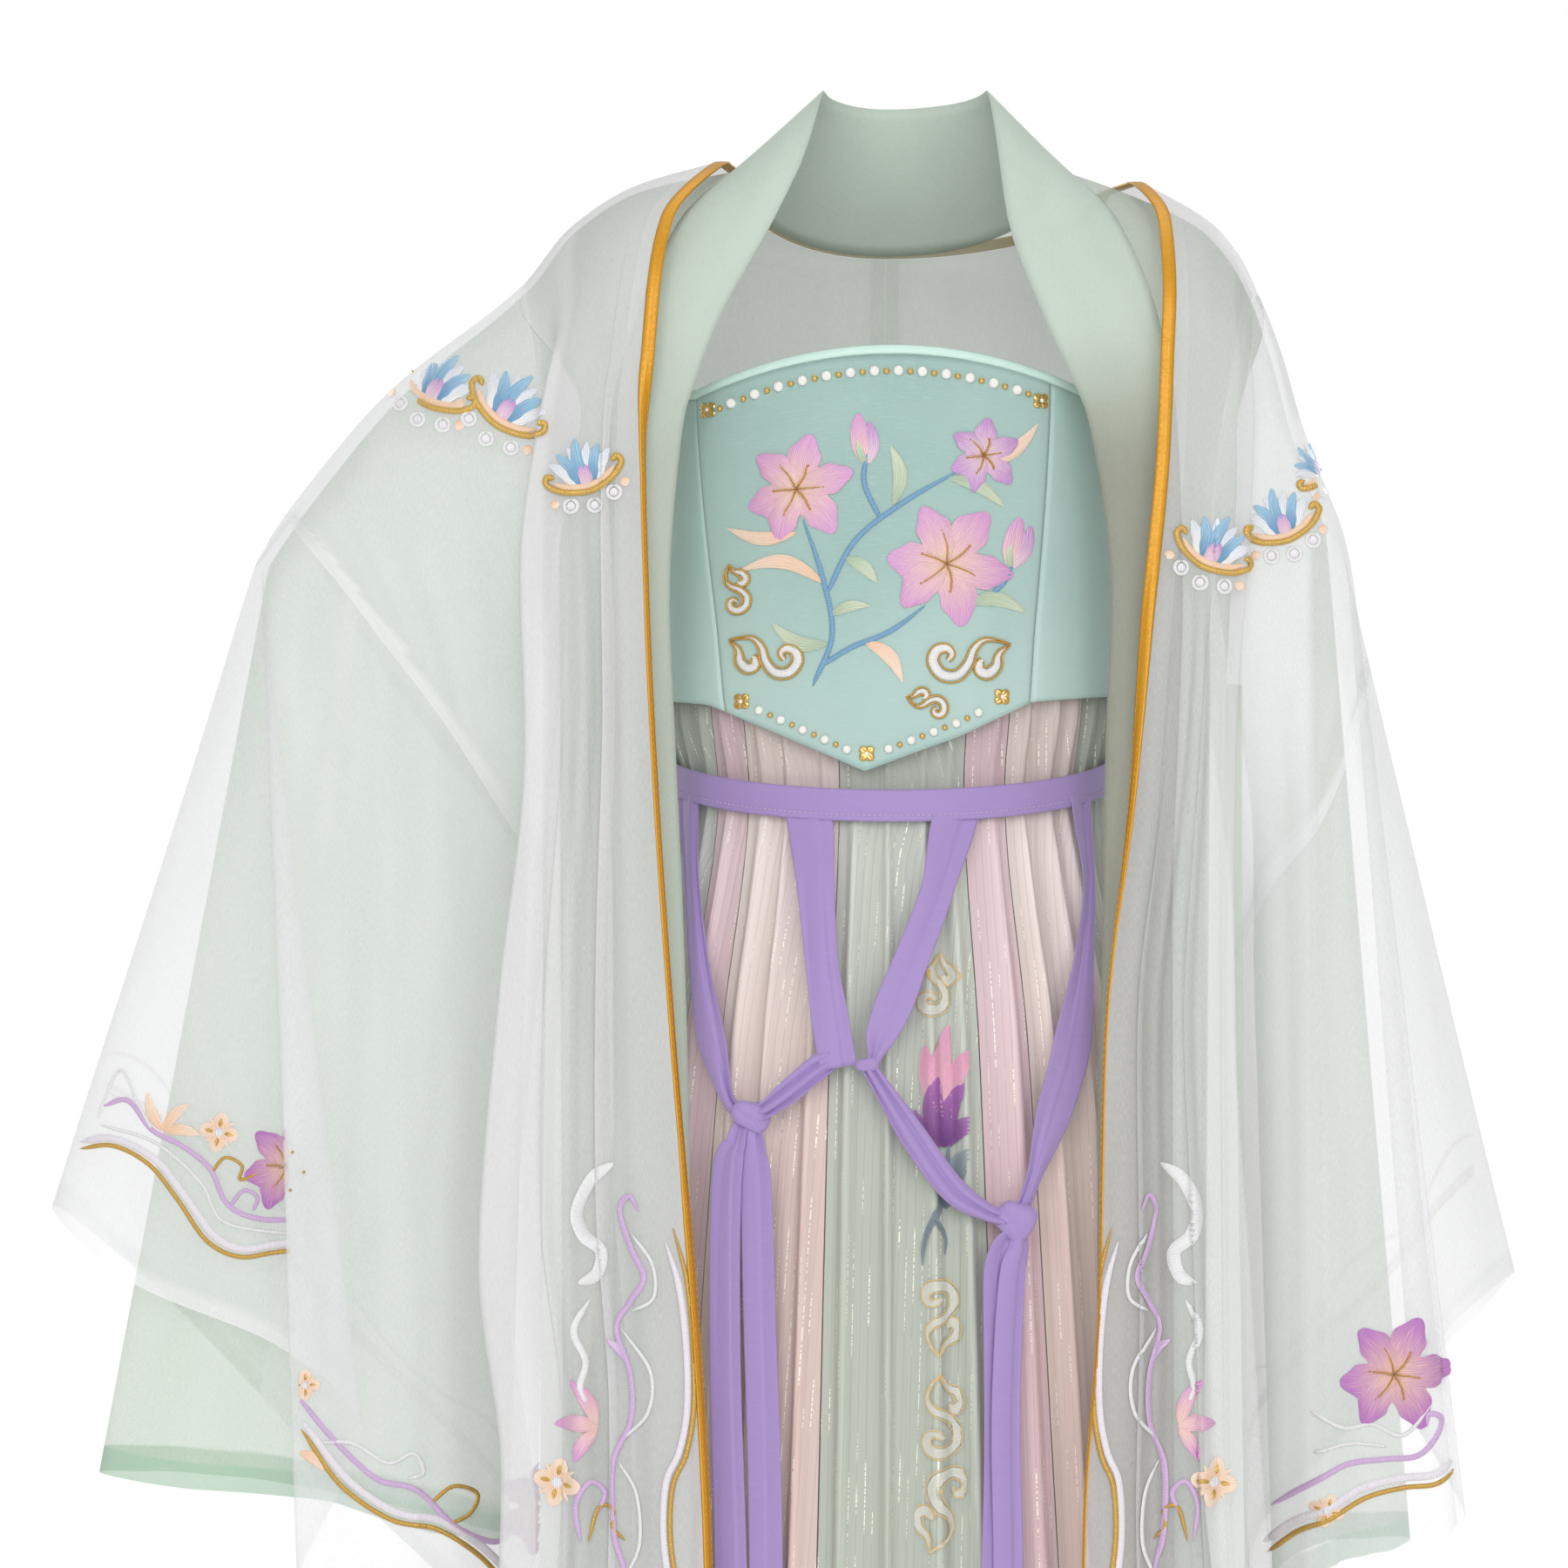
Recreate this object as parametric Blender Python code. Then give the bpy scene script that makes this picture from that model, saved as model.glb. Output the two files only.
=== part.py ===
"""A worn hanfu set: sheer outer robe, mint inner robe, satin bodice, pleated skirt, belt and ribbons.

Frame: metres, +Z up, the garment faces -Y, +X is the wearer's left. The origin lies between the
shoulders, level with the shoulder line, where the wearer carries the robes. Every piece of cloth is
a grid of points worked out from the tables below, thickened into a closed wall.
"""

import math

import bmesh
import bpy
import numpy as np

# ---------------------------------------------------------------- driving dimensions (metres)
WALL = 0.0012  # thickness of every cloth wall
SEAM = 0.0005  # gap between two pieces at a seam
SHOULDER_ROLL = 0.10  # drop over which cloth rolls forward from a shoulder
ARM_ROLL = 0.06  # and from an arm

OUTER_HEM = -1.34
INNER_HEM = -1.29
BODICE_TOP = -0.113
BELT_HEIGHT = 0.020
PIPING_WIDTH = 0.008
RIBBON_WIDTH = 0.026

# Half width and front and back depth of the figure under the skirt, at each height.
FIGURE = {
    "z": (-1.42, -1.15, -0.90, -0.55, -0.39, -0.33, -0.25, -0.17, -0.10),
    "half": (0.262, 0.230, 0.200, 0.163, 0.137, 0.143, 0.141, 0.137, 0.130),
    "front": (0.205, 0.186, 0.163, 0.128, 0.106, 0.112, 0.114, 0.112, 0.098),
    "back": (0.200, 0.180, 0.155, 0.120, 0.092, 0.094, 0.094, 0.092, 0.085),
}

# How far the robes stand in front of and behind the shoulder line, at each height.
ROBE_DEPTH = {
    "z": (-1.42, -1.15, -0.90, -0.70, -0.55, -0.40, -0.20, -0.10, 0.10),
    "inner_front": (0.208, 0.184, 0.156, 0.136, 0.121, 0.110, 0.106, 0.099, 0.090),
    "outer_front": (0.240, 0.214, 0.184, 0.162, 0.145, 0.132, 0.127, 0.118, 0.105),
    "inner_back": (0.222, 0.200, 0.176, 0.156, 0.141, 0.130, 0.118, 0.108, 0.095),
    "outer_back": (0.244, 0.222, 0.198, 0.176, 0.160, 0.147, 0.133, 0.122, 0.108),
}

# The piped front edge of the outer robe and the fold that ends each front, by height.
OUTER_FRONT = {
    "z": (-1.34, -1.10, -0.84, -0.71, -0.55, -0.39, -0.28, -0.18, -0.12, -0.07, -0.03, 0.015),
    "right_edge": (0.100, 0.106, 0.113, 0.121, 0.135, 0.1465, 0.152, 0.1546, 0.149, 0.1447, 0.137, 0.1028),
    "right_fold": (0.274, 0.256, 0.242, 0.257, 0.246, 0.230, 0.233, 0.220, 0.208, 0.203, 0.202, 0.202),
    "left_edge": (0.106, 0.111, 0.116, 0.126, 0.131, 0.1475, 0.1546, 0.164, 0.167, 0.169, 0.168, 0.146),
    "left_fold": (0.272, 0.248, 0.227, 0.220, 0.212, 0.214, 0.221, 0.226, 0.222, 0.218, 0.215, 0.215),
}

# The inner robe: the free edge of its collar band and the seam where the band meets the front.
INNER_BAND = {
    "z": (-1.29, -0.86, -0.60, -0.47, -0.36, -0.27, -0.16, -0.13, -0.10, -0.03, 0.02, 0.065),
    "right": (0.118, 0.125, 0.127, 0.131, 0.136, 0.1395, 0.131, 0.122, 0.111, 0.0735, 0.052, 0.042),
    "left": (0.118, 0.125, 0.127, 0.131, 0.133, 0.1365, 0.124, 0.119, 0.1124, 0.092, 0.080, 0.0715),
}
INNER_SEAM = {
    "z": (-1.29, -0.86, -0.47, -0.36, -0.27, -0.16, -0.10, -0.03, 0.01),
    "right": (0.168, 0.172, 0.174, 0.178, 0.180, 0.176, 0.162, 0.133, 0.096),
    "left": (0.168, 0.172, 0.174, 0.178, 0.181, 0.178, 0.168, 0.142, 0.110),
}

# The line over shoulder and arm that each robe hangs from, from beside the neck to the elbow.
OUTER_RIDGE = {
    "right_x": (0.1028, 0.158, 0.203, 0.237, 0.322, 0.384, 0.4096),
    "right_z": (0.015, 0.000, -0.0266, -0.065, -0.133, -0.206, -0.243),
    "left_x": (0.146, 0.198, 0.220, 0.237, 0.2497, 0.262, 0.288),
    "left_z": (0.002, -0.0226, -0.0424, -0.0706, -0.1045, -0.150, -0.2175),
}
INNER_RIDGE = {
    "right_x": (0.096, 0.158, 0.203, 0.232, 0.316, 0.377, 0.402),
    "right_z": (0.010, -0.007, -0.0335, -0.070, -0.141, -0.214, -0.250),
    "left_x": (0.110, 0.150, 0.198, 0.218, 0.232, 0.2437, 0.255, 0.280),
    "left_z": (0.010, -0.006, -0.030, -0.0505, -0.0765, -0.1120, -0.158, -0.225),
}
ARMHOLE_X = {"outer": 0.237, "inner": 0.232}  # where the sleeves join, on the ridge
SEAM_X = {"outer": 0.214, "inner": 0.207}  # and where that seam runs down the body
FLARE = {"outer": 0.062, "inner": 0.052}  # how far its lower end spreads over the skirt
FLARE_DROPS = (0.75, 1.36)  # and between which drops
CLOSED_X = {"outer": (0.219, 0.226), "inner": (0.240, 0.258)}  # sleeve's inner edge, top and mouth
# Shares of the drop to the sleeve's seam between which armhole closes into the sleeve's inner edge.
CLOSING = {"outer": (0.45, 1.0), "inner": (0.30, 0.85)}
NECK_X = {
    ("outer", "right"): 0.1028,
    ("outer", "left"): 0.146,
    ("inner", "right"): 0.096,
    ("inner", "left"): 0.110,
}
NECK_DROP = 0.045  # the neckline falls this far from shoulder to centre back
NECK_LEVEL = {"outer": -0.036, "inner": -0.035}  # height where its two halves meet

# Sleeve mouths: a row for each fold line round the mouth, from the front seam to the back seam.
# share: how far along the ridge the fold starts (0 shoulder, 1 elbow); x outwards from the middle.
# steps: columns of the grid between this fold line and the next.
MOUTH_COLUMNS = ("share", "x", "y", "z", "steps")
OUTER_MOUTH = {
    "right": (
        (0.00, 0.226, -0.104, -0.985, 2),
        (0.35, 0.268, -0.106, -0.990, 2),
        (0.65, 0.320, -0.103, -0.960, 2),
        (0.90, 0.366, -0.098, -0.900, 1),
        (0.93, 0.373, -0.092, -0.885, 1),
        (0.945, 0.352, -0.082, -0.840, 1),
        (0.955, 0.334, -0.071, -0.800, 1),
        (0.965, 0.352, -0.060, -0.772, 1),
        (0.975, 0.395, -0.056, -0.742, 2),
        (0.985, 0.486, -0.042, -0.705, 2),
        (1.00, 0.540, 0.000, -0.661, 2),
        (0.80, 0.480, 0.050, -0.720, 2),
        (0.45, 0.380, 0.075, -0.820, 2),
        (0.15, 0.270, 0.110, -0.920, 1),
        (0.00, 0.226, 0.118, -0.960, 1),
    ),
    "left": (
        (0.00, 0.226, -0.104, -0.930, 2),
        (0.35, 0.248, -0.106, -0.915, 2),
        (0.65, 0.300, -0.103, -0.890, 2),
        (0.90, 0.352, -0.094, -0.855, 1),
        (0.93, 0.361, -0.088, -0.848, 1),
        (0.945, 0.345, -0.079, -0.815, 1),
        (0.955, 0.330, -0.070, -0.785, 1),
        (0.965, 0.340, -0.060, -0.762, 1),
        (0.975, 0.352, -0.055, -0.745, 1),
        (0.985, 0.380, -0.040, -0.722, 2),
        (1.00, 0.408, 0.000, -0.703, 2),
        (0.80, 0.375, 0.050, -0.740, 2),
        (0.45, 0.310, 0.075, -0.800, 2),
        (0.15, 0.240, 0.110, -0.870, 1),
        (0.00, 0.226, 0.118, -0.900, 1),
    ),
}
INNER_MOUTH = {
    "right": (
        (0.00, 0.256, -0.092, -0.870, 2),
        (0.40, 0.290, -0.078, -0.862, 3),
        (0.75, 0.370, -0.040, -0.845, 3),
        (0.95, 0.470, -0.024, -0.838, 2),
        (1.00, 0.512, 0.000, -0.833, 2),
        (0.80, 0.460, 0.026, -0.838, 3),
        (0.40, 0.330, 0.045, -0.852, 3),
        (0.00, 0.256, 0.080, -0.866, 1),
    ),
    "left": (
        (0.00, 0.256, -0.092, -0.895, 2),
        (0.40, 0.262, -0.078, -0.892, 3),
        (0.75, 0.285, -0.040, -0.885, 2),
        (0.95, 0.322, -0.024, -0.880, 2),
        (1.00, 0.338, 0.000, -0.876, 2),
        (0.80, 0.310, 0.026, -0.880, 2),
        (0.40, 0.260, 0.045, -0.888, 3),
        (0.00, 0.256, 0.080, -0.893, 1),
    ),
}

# Places of the robes' grids: shares across a body half, and drops below the ridge.
ACROSS_OUTER = (0.0, 0.11, 0.22, 0.33, 0.44, 0.55, 0.66, 0.77, 0.82, 0.86, 0.90, 1.0)
ACROSS_INNER = (0.0, 0.2, 0.4, 0.6, 0.8, 1.0)
BODY_BOW = 0.62  # half width of the shallow ellipse that fronts and backs bow along
FRONT_RIPPLE = 0.003  # depth of the soft folds down the fronts
BACK_RIPPLE = 0.004  # and down the backs
SPREAD = 0.010  # how far past its fold an outer front's cloth reaches before it turns under
TURN_AT = 0.77  # the share across an outer front where its fold turns under
TURNED = 0.435  # the share of the turned cloth that lies flat behind the fold
TURN_RADIUS = 0.0035
TURN_REACH = {"right": 0.018, "left": 0.007}
BEHIND_TURN = 0.0045  # the sleeve starts this far behind the turned cloth
TOP_DROPS = (0.0, 0.006, 0.018, 0.034, 0.045, 0.100, 0.170, 0.270)
NECK_ROWS = 4  # of them reach the bottom of the back neckline
LOWER_ROWS = 6
SLEEVE_LOWER_ROWS = 4
SHIFTED_COLUMNS = 3  # columns of a sleeve's grid that ease from the armhole to the free cloth
COLLAR_LIFT = 0.055  # how far the collar band stands above the neckline
COLLAR_BOW = 0.003  # how far the band's middle stands proud
COLLAR_BACK = {"start": 0.012, "reach": 0.040, "fall": 0.007}  # its free edge behind the neck
SLEEVE_SEAM_DROP = {"right": (0.385, 0.030), "left": (0.430, 0.100)}  # at shoulder, at elbow

# Gores of the skirt in one repeat (five repeats go round): colour, width in degrees, pleats.
GORES = (("sage", 33.0, 4), ("pink", 12.0, 1), ("peach", 27.0, 3))
REPEATS = 5
FIRST_GORE_AT = -14.0
PLEAT_SHAPE = (0.0, 1.0, 0.15)  # how far out the cloth stands at three places of a pleat
PLEAT_DEPTH = {
    "z": (-1.42, -0.62, -0.44, -0.39, -0.345, -0.30, -0.15),
    "out": (0.011, 0.009, 0.006, 0.002, 0.005, 0.002, 0.002),
}
SKIRT_ROWS = (-0.150, -0.300, -0.345, -0.390, -0.440, -0.620, -0.900, -1.160, -1.420)

# The bodice: how far it stands off the figure, its top and bottom lines and its seams.
BODICE_OFF = 0.0085
BODICE_TOP_DIP = 0.024
BODICE_HEM = {
    "x": (-0.150, -0.111, -0.084, -0.0174, 0.0407, 0.0841, 0.150),
    "z": (-0.333, -0.337, -0.349, -0.379, -0.357, -0.3355, -0.330),
}
BODICE_SEAMS = (  # panel, angles at the top and at the bottom of its first edge, columns
    ("bodice_front", -60.0, -43.0, 12),
    ("bodice_side_left", 45.0, 34.0, 6),
    ("bodice_back", 100.0, 100.0, 12),
    ("bodice_side_right", 260.0, 260.0, 5),
)
BODICE_ROWS = 6
BINDING_HEIGHT = 0.005
BINDING_WALL = 0.0024
BELT_OFF = 0.0075
BELT_MIDDLE = -0.3765
BELT_DIP = 0.024
RING_STEPS = 40
RIBBON_OFF = 0.0185

# Ribbons of the belt on the skirt's front: a row for each, as its centre line (x, z) from its
# upper to its lower end.
RIBBONS = {
    "ribbon_centre_right": ((-0.0545, -0.4125), (-0.0445, -0.485), (-0.0340, -0.548)),
    "ribbon_centre_left": ((0.0370, -0.4120), (0.0140, -0.480), (-0.0085, -0.545)),
    "ribbon_side_right": ((-0.1290, -0.3970), (-0.1190, -0.480), (-0.1000, -0.571)),
    "ribbon_side_left": ((0.1240, -0.3980), (0.1140, -0.500), (0.0830, -0.634)),
    "ribbon_link_right": ((-0.0430, -0.566), (-0.0640, -0.575), (-0.0800, -0.585)),
    "ribbon_link_left": ((-0.0080, -0.570), (0.0240, -0.606), (0.0560, -0.642)),
    "tail_right_outer": ((-0.1035, -0.606), (-0.1010, -0.840), (-0.0990, -1.120)),
    "tail_right_inner": ((-0.0845, -0.608), (-0.0810, -0.840), (-0.0760, -1.080)),
    "tail_left_outer": ((0.0810, -0.668), (0.0760, -0.860), (0.0720, -1.100)),
    "tail_left_inner": ((0.0620, -0.668), (0.0560, -0.860), (0.0500, -1.060)),
}
TAIL_WIDTH = 0.0180
LINK_WIDTH = 0.0170
RIBBON_STEP = 0.045
KNOTS = {  # middle (x, z) and half sizes across, out and up
    "knot_right": ((-0.0930, -0.5885), (0.0105, 0.0060, 0.0150)),
    "knot_centre": ((-0.0255, -0.5600), (0.0150, 0.0055, 0.0085)),
    "knot_left": ((0.0720, -0.6520), (0.0125, 0.0060, 0.0145)),
}

COLOURS = {
    "outer": (0.80, 0.81, 0.82),
    "inner": (0.62, 0.74, 0.62),
    "band": (0.60, 0.72, 0.60),
    "gold": (0.80, 0.42, 0.03),
    "satin": (0.34, 0.60, 0.53),
    "light": (0.55, 0.78, 0.70),
    "lavender": (0.43, 0.32, 0.62),
    "sage": (0.60, 0.68, 0.56),
    "pink": (0.80, 0.58, 0.62),
    "peach": (0.84, 0.70, 0.62),
}
SIGN = {"right": -1.0, "left": 1.0}


# ---------------------------------------------------------------- helpers
def clear_scene():
    for item in list(bpy.data.objects):
        bpy.data.objects.remove(item, do_unlink=True)


def finish(name):
    """One plain Principled material for each colour."""
    found = bpy.data.materials.get(name)
    if found:
        return found
    made = bpy.data.materials.new(name)
    made.use_nodes = True
    shader = made.node_tree.nodes["Principled BSDF"]
    shader.inputs["Base Color"].default_value = (*COLOURS[name], 1.0)
    shader.inputs["Roughness"].default_value = 0.35 if name in ("gold", "satin") else 0.7
    shader.inputs["Metallic"].default_value = 0.4 if name == "gold" else 0.0
    return made


def smooth(xs, ys, at):
    """A smooth curve through the points (xs, ys), xs rising, that never overshoots them."""
    xs, ys = np.asarray(xs, float), np.asarray(ys, float)
    step, rise = np.diff(xs), np.diff(ys)
    slope = rise / step
    inner = np.where(
        slope[1:] * slope[:-1] > 0,
        2 * slope[1:] * slope[:-1] / np.where(slope[1:] + slope[:-1] == 0, 1, slope[1:] + slope[:-1]),
        0.0,
    )
    tangent = np.concatenate([slope[:1], inner, slope[-1:]])
    at = np.clip(at, xs[0], xs[-1])
    i = np.clip(np.searchsorted(xs, at) - 1, 0, len(xs) - 2)
    t = (at - xs[i]) / step[i]
    return (
        (2 * t**3 - 3 * t**2 + 1) * ys[i]
        + (t**3 - 2 * t**2 + t) * step[i] * tangent[i]
        + (3 * t**2 - 2 * t**3) * ys[i + 1]
        + (t**3 - t**2) * step[i] * tangent[i + 1]
    )


def read(table, column, z):
    return smooth(table["z"], table[column], z)


def fade(value, start, end):
    """0 before start, 1 after end, smooth between."""
    t = np.clip((value - start) / (end - start), 0.0, 1.0)
    return t * t * (3 - 2 * t)


def roll(drop, over):
    """The forward share of cloth that has rolled over a shoulder: a quarter of an ellipse."""
    return np.sqrt(1.0 - (1.0 - np.clip(drop / over, 0.0, 1.0)) ** 2)


def grid_faces(index):
    """Quads of a grid of vertex numbers, with the corners that coincide dropped."""
    faces = []
    for r in range(index.shape[0] - 1):
        for c in range(index.shape[1] - 1):
            ring = [index[r, c], index[r, c + 1], index[r + 1, c + 1], index[r + 1, c]]
            kept = [int(v) for k, v in enumerate(ring) if v != ring[k - 1]]
            if len(kept) > 2:
                faces.append(kept)
    return faces


def wall(name, points, index, colour, thickness=WALL):
    """A closed wall round the grid of points: the mid surface thickened by Solidify."""
    mesh = bpy.data.meshes.new(name)
    used, numbers = np.unique(index, return_inverse=True)
    flat = np.asarray(points).reshape(-1, 3)[used]
    mesh.from_pydata(flat.tolist(), [], grid_faces(numbers.reshape(index.shape)))
    made = bpy.data.objects.new(name, mesh)
    bpy.context.scene.collection.objects.link(made)
    mesh.materials.append(finish(colour))
    mesh.shade_smooth()
    solid = made.modifiers.new("wall", "SOLIDIFY")
    solid.thickness = thickness
    solid.offset = 0.0
    solid.use_rim = True
    return made


def plain_index(points):
    return np.arange(points.shape[0] * points.shape[1]).reshape(points.shape[:2])


# ---------------------------------------------------------------- the robes
def ridge_z(layer, side, x):
    table = OUTER_RIDGE if layer == "outer" else INNER_RIDGE
    return smooth(table[side + "_x"], table[side + "_z"], x)


def mirrored(side, x, y, z):
    """One array of points from coordinates measured outwards from the middle."""
    x, y, z = np.broadcast_arrays(SIGN[side] * np.asarray(x), y, z)
    return np.stack([x, y, z], axis=-1)


def flare(layer, drop):
    """How far a body's side has spread over the skirt at a drop below the shoulder."""
    return FLARE[layer] * fade(drop, *FLARE_DROPS)


def front_point(layer, side, across, drop):
    """A point of a robe's front: across runs from the front edge to the armhole seam, 0 to 1.

    The cloth spans from its edge to its seam at each height, and the outer robe's last part turns
    under behind its fold in a half circle, more fully the lower it is.
    """
    neck, arm = NECK_X[layer, side], ARMHOLE_X[layer]
    z = ridge_z(layer, side, neck + (arm - neck) * across) - drop
    edge_z = ridge_z(layer, side, neck) - drop
    seam_z = ridge_z(layer, side, arm) - drop
    if layer == "outer":
        edge = read(OUTER_FRONT, side + "_edge", edge_z) + PIPING_WIDTH + SEAM
        fold = read(OUTER_FRONT, side + "_fold", seam_z)
        turning = fade(drop, 0.02, 0.10)
        flat_seam = arm + (fold + SPREAD - arm) * fade(drop, 0.0, 0.10)
    else:
        edge = read(INNER_SEAM, side, edge_z) + SEAM
        fold, turning = 0.0, 0.0
        flat_seam = arm + (SEAM_X[layer] - arm) * fade(drop, 0.0, 0.10) + flare(layer, drop)
    flat_x = edge + (flat_seam - edge) * across
    past = np.clip((across - TURN_AT) / (1 - TURN_AT), 0.0, 1.0)
    angle = math.pi * np.clip(past / (1 - TURNED), 0.0, 1.0)
    behind = TURN_REACH[side] * np.clip(past - (1 - TURNED), 0.0, 1.0) / TURNED
    turned_x = edge + (fold - TURN_RADIUS - edge) * np.minimum(across / TURN_AT, 1.0)
    turned_x = turned_x + TURN_RADIUS * np.sin(angle) - behind
    x = flat_x + (turned_x - flat_x) * turning
    y = -read(ROBE_DEPTH, layer + "_front", z) * np.sqrt(1 - (x / BODY_BOW) ** 2)
    y = y * roll(drop, SHOULDER_ROLL)
    wave = np.sin(4 * math.pi * np.clip(across / TURN_AT, 0, 1))
    y = y - FRONT_RIPPLE * wave * fade(drop, 0.1, 0.4)
    y = y + TURN_RADIUS * (1 - np.cos(angle)) * turning
    return mirrored(side, x, y, z)


def back_point(layer, side, across, drop):
    """A point of a robe's back: across runs from the neckline and centre back to the armhole."""
    neck, arm = NECK_X[layer, side], ARMHOLE_X[layer]
    z = ridge_z(layer, side, neck + (arm - neck) * across) - drop
    lift = NECK_LEVEL[layer] + NECK_DROP - ridge_z(layer, side, neck)
    z = z + lift * (1 - across) ** 2 * fade(drop, 0.0, NECK_DROP)
    middle = neck * np.sqrt(1 - np.clip(drop / NECK_DROP, 0, 1) ** 2) + SEAM / 2
    seam = arm + (SEAM_X[layer] - arm) * fade(drop, 0.0, 0.15) + flare(layer, drop)
    x = middle + (seam - middle) * across
    y = read(ROBE_DEPTH, layer + "_back", z) * np.sqrt(1 - (x / BODY_BOW) ** 2)
    y = y * roll(drop, SHOULDER_ROLL)
    ripple = BACK_RIPPLE * np.sin(5 * math.pi * across) * fade(drop, 0.15, 0.5)
    return mirrored(side, x, y + ripple, z)


def body_half(layer, side):
    """One half of a robe's body, in one piece over the shoulder from front hem to back hem."""
    hem = OUTER_HEM if layer == "outer" else INNER_HEM
    across = np.array(ACROSS_OUTER if layer == "outer" else ACROSS_INNER)[None, :]
    lower = np.linspace(TOP_DROPS[-1], -hem, LOWER_ROWS + 1)[1:]
    drops = np.concatenate([TOP_DROPS, lower])[:, None]
    front = front_point(layer, side, across, drops)
    back = back_point(layer, side, across, drops)
    front[..., 2] = np.maximum(front[..., 2], hem)
    back[..., 2] = np.maximum(back[..., 2], hem)
    points = np.concatenate([front[::-1], back[1:]])
    wall(f"{layer}_body_{side}", points, plain_index(points), layer)


def mouth_columns(rows):
    """The mouth's columns by name, each stretch between two folds divided into its steps."""
    table = dict(zip(MOUTH_COLUMNS, np.array(rows).T))
    at = [0.0]
    for i, steps in enumerate(table["steps"][:-1]):
        at.extend(i + (k + 1) / steps for k in range(int(steps)))
    numbers = np.arange(len(rows))
    return {name: smooth(numbers, table[name], np.array(at)) for name in MOUTH_COLUMNS[:-1]}


def sleeve_points(layer, side, rows, fractions, gap=0.0):
    """Points of a sleeve: each column hangs from the ridge to its place on the mouth.

    fractions run 0 to 1 from the ridge to the diagonal seam and 1 to 2 from there to the mouth.
    The first and last columns follow the armhole and close into one line below the underarm.
    """
    mouth = mouth_columns(rows)
    share = mouth["share"]
    ridge = OUTER_RIDGE if layer == "outer" else INNER_RIDGE
    arm, elbow = ARMHOLE_X[layer] + 4 * SEAM, ridge[side + "_x"][-1]
    ridge_x = arm + (elbow - arm) * share
    top_z = ridge_z(layer, side, ridge_x)
    at_shoulder, at_elbow = SLEEVE_SEAM_DROP[side]
    seam_drop = at_shoulder + (at_elbow - at_shoulder) * share
    length = top_z - mouth["z"]
    s = np.array(fractions)[:, None]
    drop = np.where(s <= 1, seam_drop * s**2, seam_drop + (length - seam_drop) * (s - 1))
    x = ridge_x + (mouth["x"] - ridge_x) * drop / length
    facing = np.where(np.arange(len(share)) < np.argmax(share), -1, 1)
    y = mouth["y"] * roll(drop, ARM_ROLL) + facing * SEAM / 2
    points = mirrored(side, x, y, top_z - drop)
    for column, seam_of, toward in ((0, front_point, 1), (-1, back_point, -1)):
        down = drop[:, column]
        seam = seam_of(layer, side, 1.0, down)
        tucked = fade(down, 0.02, 0.10) if seam_of is front_point and layer == "outer" else 0.0
        seam[:, 0] += SIGN[side] * 4 * SEAM * (1 - tucked)
        seam[:, 1] += BEHIND_TURN * tucked
        closing = fade(down / at_shoulder, *CLOSING[layer])
        past = np.clip((down - at_shoulder) / (length[column] - at_shoulder), 0.0, 1.0)
        closed_top, closed_low = CLOSED_X[layer]
        closed_x = closed_top + (closed_low - closed_top) * past
        closed = mirrored(side, closed_x, -toward * gap, seam[:, 2])
        wanted = seam + (closed - seam) * closing[:, None]
        shift = wanted - points[:, column]
        for k in range(SHIFTED_COLUMNS):
            points[:, column + toward * k] += shift * (1 - k / SHIFTED_COLUMNS)
    return points


def sleeve(name, layer, side, rows, fractions, gap=0.0):
    """A sleeve, or part of one, sewn along its inner edge from the underarm down."""
    points = sleeve_points(layer, side, rows, fractions, gap)
    index = plain_index(points)
    if gap == 0.0:
        below = np.array(fractions) >= 1.0
        index[below, -1] = index[below, 0]
    wall(name, points, index, layer)


def piping(side):
    """The satin binding of the outer robe's front edge, from the hem round to the centre back."""
    lower = np.linspace(TOP_DROPS[-1], -OUTER_HEM, LOWER_ROWS + 1)[1:]
    front_drops = np.concatenate([TOP_DROPS, lower])[::-1]
    back_drops = np.array(TOP_DROPS[1 : NECK_ROWS + 1])
    sewn = np.concatenate(
        [front_point("outer", side, 0.0, front_drops), back_point("outer", side, 0.0, back_drops)]
    )
    sewn[:, 2] = np.maximum(sewn[:, 2], OUTER_HEM)
    turn = np.concatenate([0 * front_drops, np.arcsin(back_drops / NECK_DROP)])
    inward = mirrored(side, -np.cos(turn), -0.5 * np.sin(turn), 0.85 * np.sin(turn))
    points = np.stack([sewn + SEAM * inward, sewn + (PIPING_WIDTH + SEAM) * inward], axis=1)
    points[-1, :, 0] = SIGN[side] * SEAM
    wall(f"piping_{side}", points, plain_index(points), "gold", 2 * WALL)


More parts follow.
